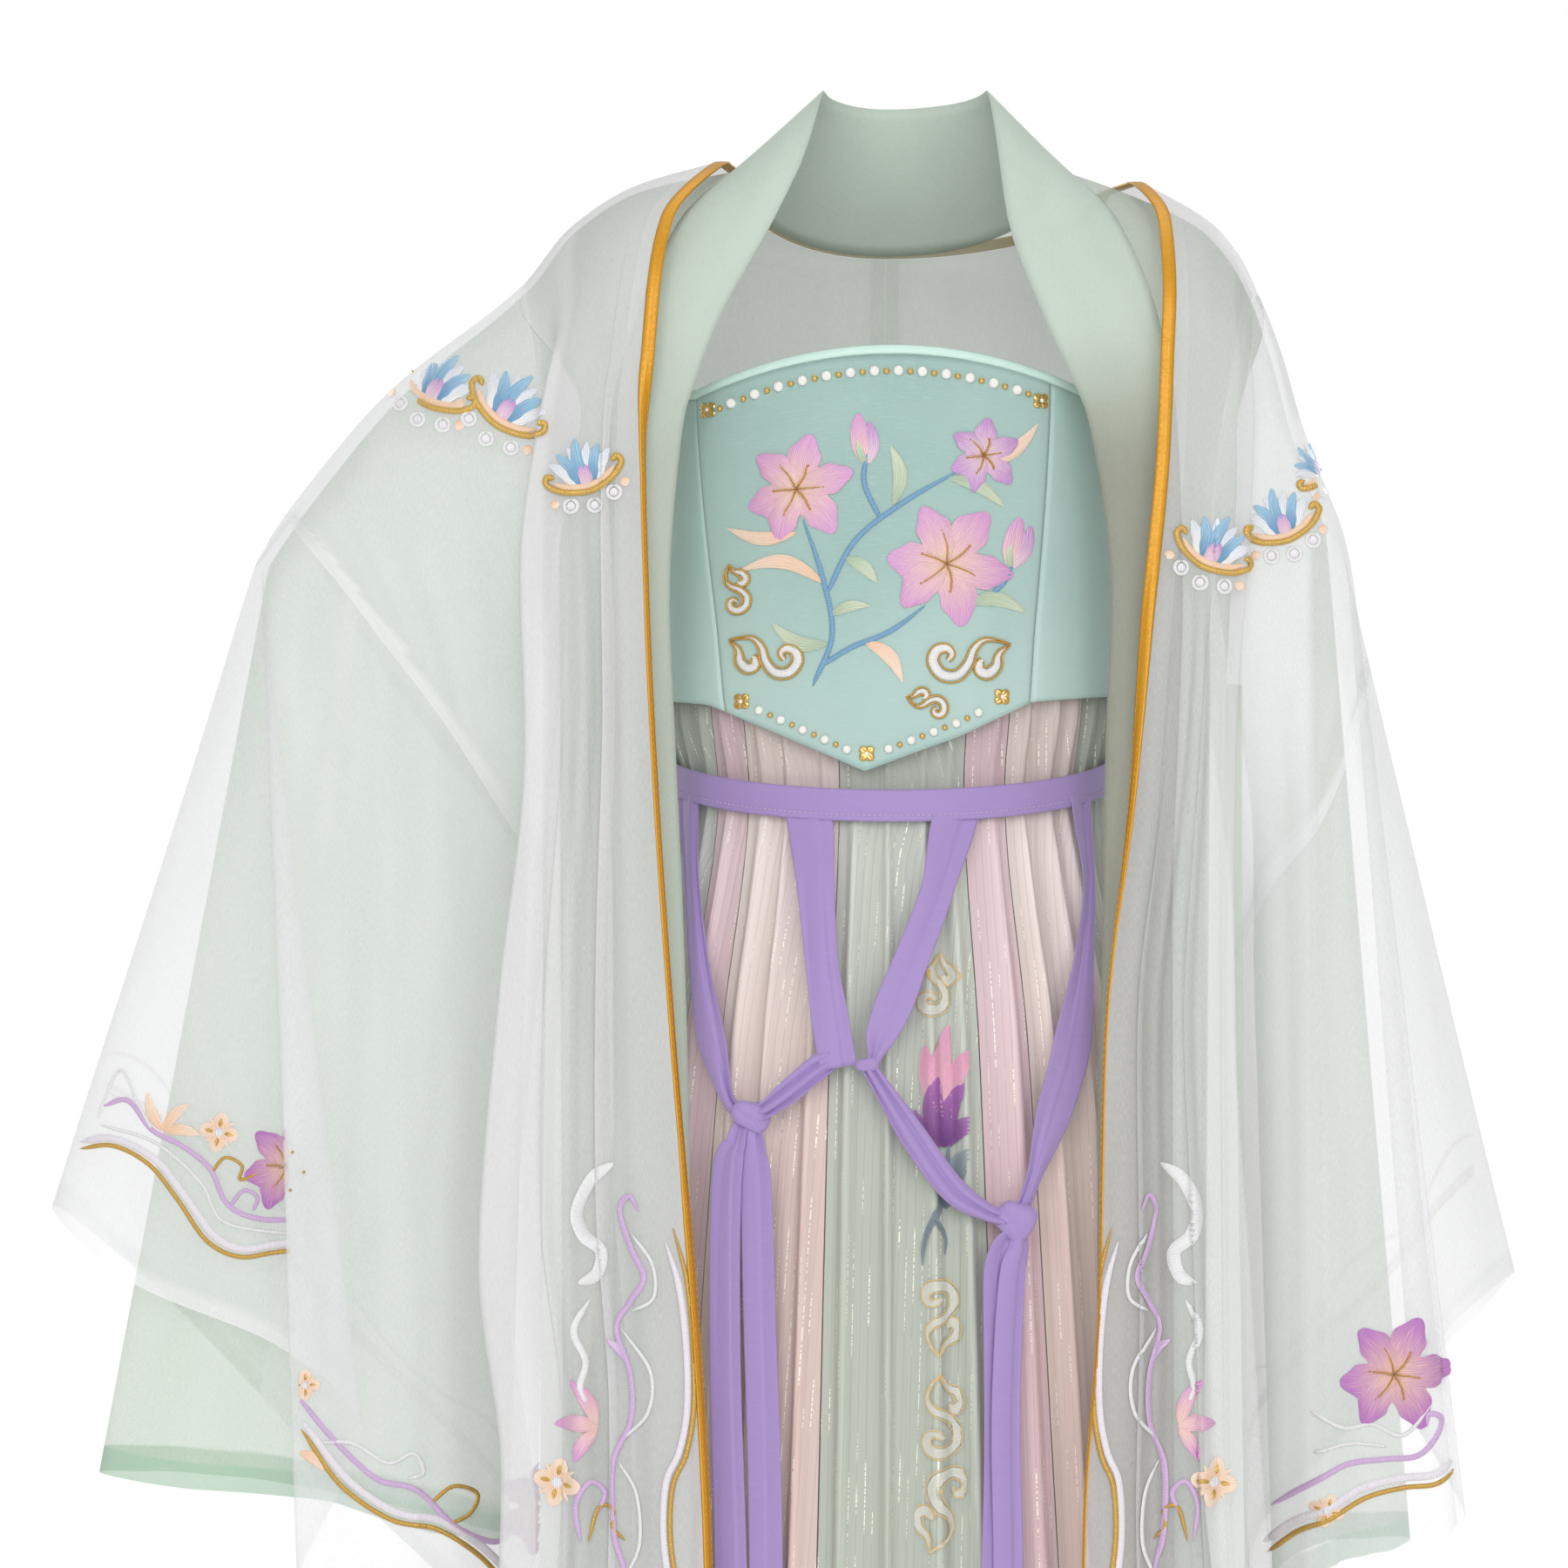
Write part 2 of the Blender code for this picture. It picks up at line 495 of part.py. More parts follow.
def collar_band():
    """The inner robe's band: from the right front's hem round the neck to the left front's hem."""
    halves = []
    for side in ("right", "left"):
        lower = np.linspace(TOP_DROPS[-1], -INNER_HEM, LOWER_ROWS + 1)[1:]
        drops = np.concatenate([TOP_DROPS, lower])[::-1]
        sewn = front_point("inner", side, 0.0, drops)
        sewn[:, 2] = np.maximum(sewn[:, 2], INNER_HEM)
        lift = COLLAR_LIFT * (1 - fade(drops, 0.0, 0.12))
        z = sewn[:, 2] + lift
        x = read(INNER_BAND, side, z)
        y = sewn[:, 1] - 0.004 * fade(drops, 0.0, 0.1)
        y = y + COLLAR_BACK["start"] * (1 - fade(drops, 0.0, 0.06))
        free = mirrored(side, x, y, z)
        back_drops = np.array(TOP_DROPS[1 : NECK_ROWS + 1])
        turn = np.arcsin(back_drops / NECK_DROP)
        back_sewn = back_point("inner", side, 0.0, back_drops)
        top_x, top_z = INNER_BAND[side][-1], INNER_BAND["z"][-1]
        back_free = mirrored(
            side,
            top_x * np.cos(turn),
            COLLAR_BACK["start"] + COLLAR_BACK["reach"] * np.sin(turn),
            top_z - COLLAR_BACK["fall"] * np.sin(turn),
        )
        back_sewn[-1, 0] = 0.0
        free = np.concatenate([free, back_free])
        sewn = np.concatenate([sewn, back_sewn])
        edge = (free - sewn) / np.linalg.norm(free - sewn, axis=1, keepdims=True)
        sewn = sewn + 2 * SEAM * edge
        middle = (free + sewn) / 2
        middle[:, 1] -= COLLAR_BOW
        halves.append(np.stack([free, middle, sewn], axis=1))
    points = np.concatenate([halves[0], halves[1][:-1][::-1]])
    wall("inner_collar_band", points, plain_index(points), "band")


def robes():
    lower = 1.0 + np.linspace(0.0, 1.0, SLEEVE_LOWER_ROWS + 1)
    below_seam = lower.copy()
    below_seam[0] += 0.004
    for side in ("right", "left"):
        seam_drop = SLEEVE_SEAM_DROP[side][0]
        drops = TOP_DROPS + ((TOP_DROPS[-1] + seam_drop) / 2, seam_drop)
        upper = np.sqrt(np.array(drops) / seam_drop)
        body_half("outer", side)
        body_half("inner", side)
        piping(side)
        sleeve(f"outer_sleeve_upper_{side}", "outer", side, OUTER_MOUTH[side], upper, gap=0.0010)
        sleeve(f"outer_sleeve_lower_{side}", "outer", side, OUTER_MOUTH[side], below_seam)
        rows = np.concatenate([upper, lower[1:]])
        sleeve(f"inner_sleeve_{side}", "inner", side, INNER_MOUTH[side], rows)
    collar_band()


# ---------------------------------------------------------------- skirt, bodice, belt
def around(angle, z, off):
    """A point of the figure's section at a height, moved out: angle 0 is the front, + to the left."""
    half = read(FIGURE, "half", z) + off
    front = read(FIGURE, "front", z) + off
    back = read(FIGURE, "back", z) + off
    y = -np.cos(angle) * np.where(np.cos(angle) > 0, front, back)
    x, y, z = np.broadcast_arrays(half * np.sin(angle), y, z)
    return np.stack([x, y, z], axis=-1)


def skirt():
    """Gores side by side round the figure, each with its share of the pleats."""
    start = FIRST_GORE_AT
    z = np.array(SKIRT_ROWS)[:, None]
    for repeat in range(REPEATS):
        for colour, width, pleats in GORES:
            steps = pleats * len(PLEAT_SHAPE)
            share = np.arange(steps + 1) / steps
            gap = math.degrees(1.2 * SEAM / 0.13)
            angle = np.radians(start + gap / 2 + (width - gap) * share)[None, :]
            out = np.array([PLEAT_SHAPE[k % len(PLEAT_SHAPE)] for k in range(steps + 1)])[None, :]
            points = around(angle, z, out * read(PLEAT_DEPTH, "out", z))
            wall(f"skirt_{colour}_{repeat + 1}", points, plain_index(points), colour)
            start += width


def bodice_top(x):
    return BODICE_TOP - BODICE_TOP_DIP * np.clip(x / 0.128, -1, 1) ** 2


def bodice():
    """Four panels that meet at the side-front seams and the sides, with a binding along the top."""
    turn_steps = len(BODICE_SEAMS)
    for k, (name, top_start, low_start, steps) in enumerate(BODICE_SEAMS):
        _, top_end, low_end, _ = BODICE_SEAMS[(k + 1) % turn_steps]
        if k == turn_steps - 1:
            top_end, low_end = top_end + 360.0, low_end + 360.0
        down = np.linspace(0.0, 1.0, BODICE_ROWS + 1)[:, None]
        share = np.linspace(0.0, 1.0, steps + 1)[None, :]
        gap = math.degrees(1.2 * SEAM / 0.14)
        start = top_start + (low_start - top_start) * down + gap / 2
        end = top_end + (low_end - top_end) * down - gap / 2
        angle = np.radians(start + (end - start) * share)
        x = around(angle, BODICE_TOP - 0.1, BODICE_OFF)[..., 0]
        top = bodice_top(x) - BINDING_HEIGHT - 4 * SEAM
        hem = np.where(np.cos(angle) > 0, np.interp(x, BODICE_HEM["x"], BODICE_HEM["z"]), -0.331)
        z = top + (hem - top) * down
        points = around(angle, z, BODICE_OFF + 0.005 * fade(-z, 0.28, 0.38))
        wall(name, points, plain_index(points), "satin")
    ring("bodice_binding", BODICE_OFF, BINDING_HEIGHT, BINDING_WALL, "light", bodice_binding_middle)


def bodice_binding_middle(angle):
    x = around(angle, BODICE_TOP - 0.1, BODICE_OFF)[..., 0]
    return bodice_top(x) - BINDING_HEIGHT / 2


def belt_middle(angle):
    return BELT_MIDDLE - BELT_DIP * np.clip(np.cos(angle), 0, 1)


def ring(name, off, height, thickness, colour, middle):
    """A closed band round the figure, its middle line at a height given by the angle."""
    angle = np.radians(np.linspace(0.0, 360.0, RING_STEPS + 1))[None, :]
    z = middle(angle) + height * np.array([0.5, -0.5])[:, None]
    points = around(angle, z, off)
    points[1, :, :2] = points[0, :, :2]
    index = plain_index(points)
    index[:, -1] = index[:, 0]
    wall(name, points, index, colour, thickness)


def on_skirt(x, z):
    """The place in front of the skirt's pleats at (x, z)."""
    half = read(FIGURE, "half", z) + RIBBON_OFF
    front = read(FIGURE, "front", z) + RIBBON_OFF
    y = -front * np.sqrt(1 - np.clip(x / half, -0.99, 0.99) ** 2)
    x, y, z = np.broadcast_arrays(x, y, z)
    return np.stack([x, y, z], axis=-1)


def ribbons():
    for name, path in RIBBONS.items():
        spots = np.array(path)
        length = np.linalg.norm(spots[-1] - spots[0])
        along = np.linspace(0.0, 2.0, max(3, round(length / RIBBON_STEP)) + 1)
        x = smooth((0, 1, 2), spots[:, 0], along)
        z = smooth((0, 1, 2), spots[:, 1], along)
        widths = {"tail": TAIL_WIDTH, "ribbon_link": LINK_WIDTH, "ribbon": RIBBON_WIDTH}
        width = next(value for start, value in widths.items() if name.startswith(start))
        heading = np.stack([np.gradient(x), np.gradient(z)], axis=1)
        heading /= np.linalg.norm(heading, axis=1, keepdims=True)
        reach = width / 2 * np.array([-1.0, 1.0])[None, :]
        points = on_skirt(x[:, None] - heading[:, 1:] * reach, z[:, None] + heading[:, :1] * reach)
        wall(name, points, plain_index(points), "lavender")


def knots():
    for name, ((x, z), sizes) in KNOTS.items():
        mesh = bpy.data.meshes.new(name)
        shape = bmesh.new()
        bmesh.ops.create_icosphere(shape, subdivisions=2, radius=1.0)
        for vertex in shape.verts:
            vertex.co = [c * size for c, size in zip(vertex.co, sizes)]
        shape.to_mesh(mesh)
        shape.free()
        mesh.materials.append(finish("lavender"))
        mesh.shade_smooth()
        made = bpy.data.objects.new(name, mesh)
        made.location = on_skirt(np.array(x), np.array(z))
        bpy.context.scene.collection.objects.link(made)


def main():
    clear_scene()
    robes()
    skirt()
    bodice()
    ring("belt_band", BELT_OFF, BELT_HEIGHT, 2 * WALL, "lavender", belt_middle)
    ribbons()
    knots()


main()
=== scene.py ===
"""Looks of a worn hanfu set: sheer outer robe, mint inner robe, satin bodice, pleated skirt, belt.

Frame: metres, +Z up, the garment faces -Y and +X is the wearer's left. Every cloth is a surface of
two parameters worked out as whole arrays, on the same forms as the solids that it replaces.
"""

from __future__ import annotations

import logging
import math
from dataclasses import dataclass, field
from enum import Enum
from typing import Callable

import bpy
import numpy as np
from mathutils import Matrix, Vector
from mathutils.bvhtree import BVHTree

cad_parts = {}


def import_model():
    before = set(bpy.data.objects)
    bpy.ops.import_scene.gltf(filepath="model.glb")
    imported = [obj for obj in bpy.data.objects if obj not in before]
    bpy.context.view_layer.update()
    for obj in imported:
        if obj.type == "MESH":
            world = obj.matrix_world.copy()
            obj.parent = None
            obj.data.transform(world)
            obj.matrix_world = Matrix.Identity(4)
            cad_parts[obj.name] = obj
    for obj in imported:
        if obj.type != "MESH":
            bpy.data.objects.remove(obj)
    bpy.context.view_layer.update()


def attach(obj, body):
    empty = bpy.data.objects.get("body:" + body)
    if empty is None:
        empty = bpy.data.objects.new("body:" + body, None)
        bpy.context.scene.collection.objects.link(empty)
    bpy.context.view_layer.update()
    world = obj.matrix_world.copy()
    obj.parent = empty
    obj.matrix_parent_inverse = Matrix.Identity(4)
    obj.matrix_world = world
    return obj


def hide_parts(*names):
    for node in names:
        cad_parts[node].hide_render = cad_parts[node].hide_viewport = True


LOG = logging.getLogger("hanfu")
Array = np.ndarray
Spot = tuple[float, float]
Colour = tuple[float, float, float]
BODY = "root"


class Side(Enum):
    """The wearer's side; the value is the sign of X."""

    RIGHT = -1.0
    LEFT = 1.0

    @property
    def word(self) -> str:
        """The side's name as the nodes spell it."""
        return self.name.lower()


# ---------------- curves
def mm(*lengths: float) -> tuple[Spot, ...]:
    """Points of two coordinates each, given one after the other in millimetres."""
    return tuple((a / 1000, b / 1000) for a, b in zip(lengths[::2], lengths[1::2]))


def beside(middle: Spot, reach: float, angle: float) -> Spot:
    """The spot at a distance from another, at an angle from straight above it."""
    return (middle[0] + reach * math.sin(angle), middle[1] + reach * math.cos(angle))


def dense(start: float, end: float, count: int) -> Array:
    """Evenly spaced places."""
    return np.linspace(start, end, count)


def smooth(xs: Array, ys: Array, at: Array) -> Array:
    """A smooth curve through (xs, ys) that never overshoots them.

    A cubic Hermite curve whose tangent at each point is the harmonic mean of the slopes beside it,
    or 0 where they differ in sign.

    Args:
        xs: rising places of the points.
        ys: values at them.
        at: where to read the curve.

    Returns:
        The values at `at`.
    """
    xs, ys = np.asarray(xs, float), np.asarray(ys, float)
    step = np.diff(xs)
    slope = np.diff(ys) / step
    total = slope[1:] + slope[:-1]
    mean = 2 * slope[1:] * slope[:-1] / np.where(total == 0, 1, total)
    inner = np.where(slope[1:] * slope[:-1] > 0, mean, 0.0)
    tangent = np.concatenate([slope[:1], inner, slope[-1:]])
    at = np.clip(at, xs[0], xs[-1])
    i = np.clip(np.searchsorted(xs, at) - 1, 0, len(xs) - 2)
    t = (at - xs[i]) / step[i]
    return (
        (2 * t**3 - 3 * t**2 + 1) * ys[i]
        + (t**3 - 2 * t**2 + t) * step[i] * tangent[i]
        + (3 * t**2 - 2 * t**3) * ys[i + 1]
        + (t**3 - t**2) * step[i] * tangent[i + 1]
    )


def spline(points: Array, at: Array) -> Array:
    """A Catmull-Rom curve through points, read at parameters from 0 to 1.

    Args:
        points: control points, one a row.
        at: parameters.

    Returns:
        One point for each parameter.
    """
    points = np.asarray(points, float)
    first = 2 * points[:1] - points[1:2]
    last = 2 * points[-1:] - points[-2:-1]
    ring = np.concatenate([first, points, last])
    place = np.clip(at, 0, 1) * (len(points) - 1)
    i = np.clip(place.astype(int), 0, len(points) - 2)
    t = (place - i)[:, None]
    a, b, c, d = ring[i], ring[i + 1], ring[i + 2], ring[i + 3]
    return 0.5 * (
        2 * b + (c - a) * t + (2 * a - 5 * b + 4 * c - d) * t**2 + (3 * b - a - 3 * c + d) * t**3
    )


def fade(value: Array, start: float, end: float) -> Array:
    """0 before start and 1 after end, with a smooth step between."""
    t = np.clip((value - start) / (end - start), 0.0, 1.0)
    return t * t * (3 - 2 * t)


def roll(drop: Array, over: float) -> Array:
    """The forward share of cloth that rolls over a shoulder or arm: a quarter of an ellipse."""
    return np.sqrt(1.0 - (1.0 - np.clip(drop / over, 0.0, 1.0)) ** 2)


def rounded(path: Array, reach: int) -> Array:
    """The path, with each point moved to the bell-weighted mean of those within reach of it.

    Args:
        path: the points in order.
        reach: how many neighbours on each side count.

    Returns:
        The rounded path.
    """
    weights = np.exp(-np.linspace(-2, 2, 2 * reach + 1) ** 2)
    padded = np.concatenate([path[:1]] * reach + [path] + [path[-1:]] * reach)
    stack = [padded[k : k + len(path)] * weights[k] for k in range(2 * reach + 1)]
    return np.sum(stack, axis=0) / weights.sum()


def unit(vectors: Array) -> Array:
    """The vectors, each made one long."""
    return vectors / np.maximum(np.linalg.norm(vectors, axis=-1, keepdims=True), 1e-9)


def grid_normals(points: Array) -> Array:
    """Normals of a grid of points: the cross product of its two directions, made one long."""
    return unit(np.cross(np.gradient(points, axis=1), np.gradient(points, axis=0)))


def arc(points: Array, axis: int) -> Array:
    """Length along a grid from its first row or column to each point.

    Args:
        points: the grid.
        axis: 0 along its columns, 1 along its rows.

    Returns:
        The lengths, one for each point.
    """
    steps = np.linalg.norm(np.diff(points, axis=axis), axis=-1)
    start = np.zeros_like(np.take(steps, [0], axis=axis))
    return np.concatenate([start, np.cumsum(steps, axis=axis)], axis=axis)


@dataclass(frozen=True)
class Fold:
    """One line that runs down a cloth: a soft ridge, a trough, or a knife fold.

    at and width are shares across the cloth, depth is negative for a trough, drift is how far the
    fold has moved across at the lower end, and start and end are the drops (metres) between which
    it shows. A knife fold doubles back on itself, and its upper layer reaches over the lower one.
    """

    at: float
    width: float
    depth: float
    drift: float = 0.0
    start: float = 0.0
    end: float = 9.0
    over: float = 0.0

    def shifts(self, across: Array, drop: Array) -> tuple[Array | float, Array]:
        """Moves along and off the cloth.

        A ridge moves only off it, as a bell curve across. A knife fold moves along it by a straight
        ramp less a smooth step: the ramp spreads the cloth, the step takes it back faster than it
        goes on. Off it, that is a bell that changes sign where the cloth turns.

        Args:
            across: places across the cloth.
            drop: places down it.

        Returns:
            The move along the cloth and the move off it.
        """
        down = np.clip((drop - self.start) / max(min(self.end, 1.3) - self.start, 1e-3), 0, 1)
        place = (across - self.at - self.drift * down) / self.width
        soft = (0.22 if self.over else 0.25) * (min(self.end, 1.4) - self.start)
        shown = fade(drop, self.start, self.start + soft) * (1 - fade(drop, self.end - soft, self.end))
        if not self.over:
            return 0.0, self.depth * np.exp(-(place**2)) * shown
        off = -np.tanh(1.5 * place) * np.exp(-((place / 4.0) ** 2))
        return self.over * shown * (across - 0.5 - 0.5 * np.tanh(place)), self.depth * shown * off


def folded(points: Array, across: Array, drop: Array, folds: tuple[Fold, ...],
           calm: tuple[float, ...]) -> Array:
    """The grid moved by its folds, along its normals and, for knife folds, along its rows.

    Args:
        points: grid of points.
        across: share across the cloth, for each column.
        drop: length down it, for each point.
        folds: what moves it.
        calm: shares across where the folds start, are full, start to fade and end.

    Returns:
        The grid with its folds.
    """
    along, off = np.zeros(points.shape[:2]), np.zeros(points.shape[:2])
    for fold in folds:
        moved, raised = fold.shifts(across, drop)
        along, off = along + moved, off + raised
    moves = grid_normals(points) * off[..., None] + unit(np.gradient(points, axis=1)) * along[..., None]
    start, full, fading, end = calm
    share = fade(across, start, full) * (1 - fade(across, fading, end))
    return points + moves * share[..., None]


# ---------------- meshes
def grid_quads(index: Array) -> Array:
    """Quads of a grid of vertex numbers, one a row."""
    ring = (index[:-1, :-1], index[:-1, 1:], index[1:, 1:], index[1:, :-1])
    return np.stack([corner.ravel() for corner in ring], axis=1)


@dataclass
class Surface:
    """Points, quads and per-vertex values of one mesh, which others can be added to."""

    points: Array
    quads: Array
    uv: Array
    shade: Array

    @staticmethod
    def of_grid(points: Array, shade: Array | None = None, closed: bool = False) -> "Surface":
        """A grid's surface, with lengths in metres as its UV map.

        Args:
            points: grid of points, rows by columns.
            shade: a value for each point that its material reads, or none for 0.
            closed: whether the last column joins the first.

        Returns:
            The surface.
        """
        rows, columns = points.shape[:2]
        index = np.arange(rows * columns).reshape(rows, columns)
        if closed:
            index = np.concatenate([index, index[:, :1]], axis=1)
        uv = np.stack([arc(points, 1), arc(points, 0)], axis=-1)
        value = np.zeros((rows, columns)) if shade is None else np.broadcast_to(shade, (rows, columns))
        return Surface(points.reshape(-1, 3), grid_quads(index), uv.reshape(-1, 2), value.ravel())

    @staticmethod
    def joined(parts: list["Surface"]) -> "Surface":
        """One surface of several, side by side.

        Args:
            parts: the surfaces.

        Returns:
            The one surface.
        """
        starts = np.cumsum([0] + [len(p.points) for p in parts[:-1]])
        return Surface(
            np.concatenate([p.points for p in parts]),
            np.concatenate([p.quads + s for p, s in zip(parts, starts)]),
            np.concatenate([p.uv for p in parts]),
            np.concatenate([p.shade for p in parts]),
        )

    def trimmed(self, deepest: float) -> "Surface":
        """The surface without quads that miss a point or reach further in depth than is given.

        Args:
            deepest: the largest reach in depth of a quad that stays.

        Returns:
            The trimmed surface.
        """
        depth = self.points[self.quads][..., 1]
        whole = np.isfinite(depth).all(axis=1) & (np.ptp(depth, axis=1) < deepest)
        used, index = np.unique(self.quads[whole], return_inverse=True)
        return Surface(self.points[used], index.reshape(-1, 4), self.uv[used], self.shade[used])

    def build(self, name: str, material: bpy.types.Material, slot: str) -> bpy.types.Object:
        """Makes the mesh object with its UV map, shade attribute and material, attached to the body.

        Args:
            name: the piece's name.
            material: its finish.
            slot: the record's material slot; not used.

        Returns:
            The object.
        """
        mesh = bpy.data.meshes.new(name)
        mesh.from_pydata(self.points.tolist(), [], self.quads.tolist())
        corners = np.empty(len(mesh.loops), dtype=np.int32)
        mesh.loops.foreach_get("vertex_index", corners)
        layer = mesh.uv_layers.new(name="cloth")
        layer.data.foreach_set("uv", self.uv[corners].astype(np.float32).ravel())
        attribute = mesh.attributes.new("shade", "FLOAT", "POINT")
        attribute.data.foreach_set("value", self.shade.astype(np.float32))
        mesh.materials.append(material)
        mesh.shade_smooth()
        made = bpy.data.objects.new(name, mesh)
        bpy.context.scene.collection.objects.link(made)
        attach(made, BODY)
        return made


def thicken(piece: bpy.types.Object, thickness: float) -> None:
    """Gives a surface a wall with a rim, centred on it.

    Args:
        piece: the sheet.
        thickness: of the wall, in metres.
    """
    solid = piece.modifiers.new("wall", "SOLIDIFY")
    solid.thickness = thickness
    solid.offset = 0.0
    solid.use_rim = True


def declare_cloth(piece: bpy.types.Object, grid: Array) -> None:
    """Logs the flat cut that a cloth's grid unrolls to.

    The cut is as wide as the longest row and as long as the longest column, and its area is the
    sum of the cells, because woven cloth drapes without stretching.

    Args:
        piece: the finished sheet.
        grid: the points that it was built from.
    """
    width = float(arc(grid, 1)[:, -1].max())
    length = float(arc(grid, 0)[-1].max())
    sides = np.cross(grid[1:, :-1] - grid[:-1, :-1], grid[:-1, 1:] - grid[:-1, :-1])
    others = np.cross(grid[1:, 1:] - grid[:-1, 1:], grid[1:, 1:] - grid[1:, :-1])
    area = float((np.linalg.norm(sides, axis=-1) + np.linalg.norm(others, axis=-1)).sum() / 2)
    area = min(max(area, 0.31 * width * length), width * length)
    LOG.info("%s: flat %.3f x %.3f m, %.3f m2", piece.name, width, length, area)


def sew(grid: Array, name: str, material: bpy.types.Material, slot: str, node: str, held: str = "",
        wall: float = 0.0, shade: Array | None = None) -> None:
    """Builds a grid as the piece that stands for a node.

    Args:
        grid: its points.
        name: the piece's name.
        material: its finish.
        slot: the record's material slot.
        node: the solid that it stands for.
        held: how its cloth is held, or nothing for a piece that isn't a cloth of its own.
        wall: thickness of its wall, or 0 for a single surface.
        shade: a value for each point that its material reads.
    """
    piece = Surface.of_grid(grid, shade).build(name, material, slot)
    if wall:
        thicken(piece, wall)
    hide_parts(node)
    if held:
        declare_cloth(piece, grid)


def running_stitch(path: Array, length: float, gap: float, radius: float) -> Surface:
    """Short threads along a path, with gaps between them.

    Each is a four-sided tube on four rings, whose ends taper and dip.

    Args:
        path: dense points of the line that is sewn.
        length: of each stitch.
        gap: between stitches.
        radius: of the thread.

    Returns:
        All the stitches as one surface.
    """
    run = arc(path, 0)
    count = int(run[-1] / (length + gap))
    starts = (np.arange(count) + 0.5) * (length + gap)
    rings = starts[:, None] + length * np.array([0.0, 0.25, 0.75, 1.0])[None, :]
    place = np.stack([np.interp(rings, run, path[:, k]) for k in range(3)], axis=-1)
    heading = unit(place[:, -1:] - place[:, :1])
    out = np.broadcast_to([0.0, -1.0, 0.0], heading.shape)
    side = unit(np.cross(heading, out))
    out = np.cross(side, heading)
    radii = radius * np.array([0.1, 1.0, 1.0, 0.1])[None, :, None, None]
    angle = np.arange(4) * math.pi / 2
    ring = side[:, :, None] * np.cos(angle)[None, None, :, None]
    ring = ring + out[:, :, None] * np.sin(angle)[None, None, :, None]
    points = place[:, :, None] + ring * radii
    index = np.arange(16).reshape(4, 4)
    quads = grid_quads(np.concatenate([index, index[:, :1]], axis=1))
    quads = (quads[None] + 16 * np.arange(count)[:, None, None]).reshape(-1, 4)
    flat = points.reshape(-1, 3)
    return Surface(flat, quads, np.zeros((len(flat), 2)), np.zeros(len(flat)))


# ---------------- forms
@dataclass(frozen=True)
class Figure:
    """The section of the worn figure: half width, front and back depth at each height."""

    z: tuple[float, ...] = (-1.42, -1.15, -0.90, -0.55, -0.39, -0.33, -0.25, -0.17, -0.10)
    half: tuple[float, ...] = (0.262, 0.230, 0.200, 0.163, 0.137, 0.143, 0.141, 0.137, 0.130)
    front: tuple[float, ...] = (0.205, 0.186, 0.163, 0.128, 0.106, 0.112, 0.114, 0.112, 0.098)
    back: tuple[float, ...] = (0.200, 0.180, 0.155, 0.120, 0.092, 0.094, 0.094, 0.092, 0.085)

    def around(self, angle: Array, z: Array, off: Array | float) -> Array:
        """Points of the section, an ellipse of three half axes, moved out.

        Args:
            angle: radians round it, 0 at the front and rising to the wearer's left.
            z: heights.
            off: how far outside the figure.

        Returns:
            The points, by the broadcast of the three.
        """
        half, front, back = (smooth(self.z, axis, z) + off for axis in (self.half, self.front, self.back))
        y = -np.cos(angle) * np.where(np.cos(angle) > 0, front, back)
        x, y, z = np.broadcast_arrays(half * np.sin(angle), y, z)
        return np.stack([x, y, z], axis=-1)

    def in_front(self, x: Array, z: Array, off: Array | float) -> Array:
        """Points of the section's front half at (x, z).

        Args:
            x, z: the places.
            off: how far outside the figure.

        Returns:
            The points.
        """
        half, front = (smooth(self.z, axis, z) + off for axis in (self.half, self.front))
        y = -front * np.sqrt(1 - np.clip(x / half, -0.99, 0.99) ** 2)
        x, y, z = np.broadcast_arrays(x, y, z)
        return np.stack([x, y, z], axis=-1)


def outward(side: Side, x: Array, y: Array, z: Array) -> Array:
    """Points from coordinates measured outwards from the middle of the body."""
    x, y, z = np.broadcast_arrays(side.value * np.asarray(x), y, z)
    return np.stack([x, y, z], axis=-1)


@dataclass(frozen=True)
class SideCut:
    """What differs between the two sides of a robe.

    ridge is the line over shoulder and arm as (x outwards, z). mouth is the sleeve's mouth, a row
    (share of the ridge, x outwards, y, z) for each fold line from the front seam to the back one.
    edge and fold are (z, x) of the front's free edge and of the fold that ends the front. trim is
    (z, share): how much of the binding's width faces forwards, where the edge rolls.
    """

    neck: float
    ridge: tuple[Spot, ...]
    mouth: tuple[tuple[float, float, float, float], ...]
    edge: tuple[Spot, ...]
    fold: tuple[Spot, ...] = ()
    turn_reach: float = 0.0
    seam_drop: tuple[float, float] = (0.4, 0.06)
    trim: tuple[Spot, ...] = ((-1.0, 1.0), (0.0, 1.0))


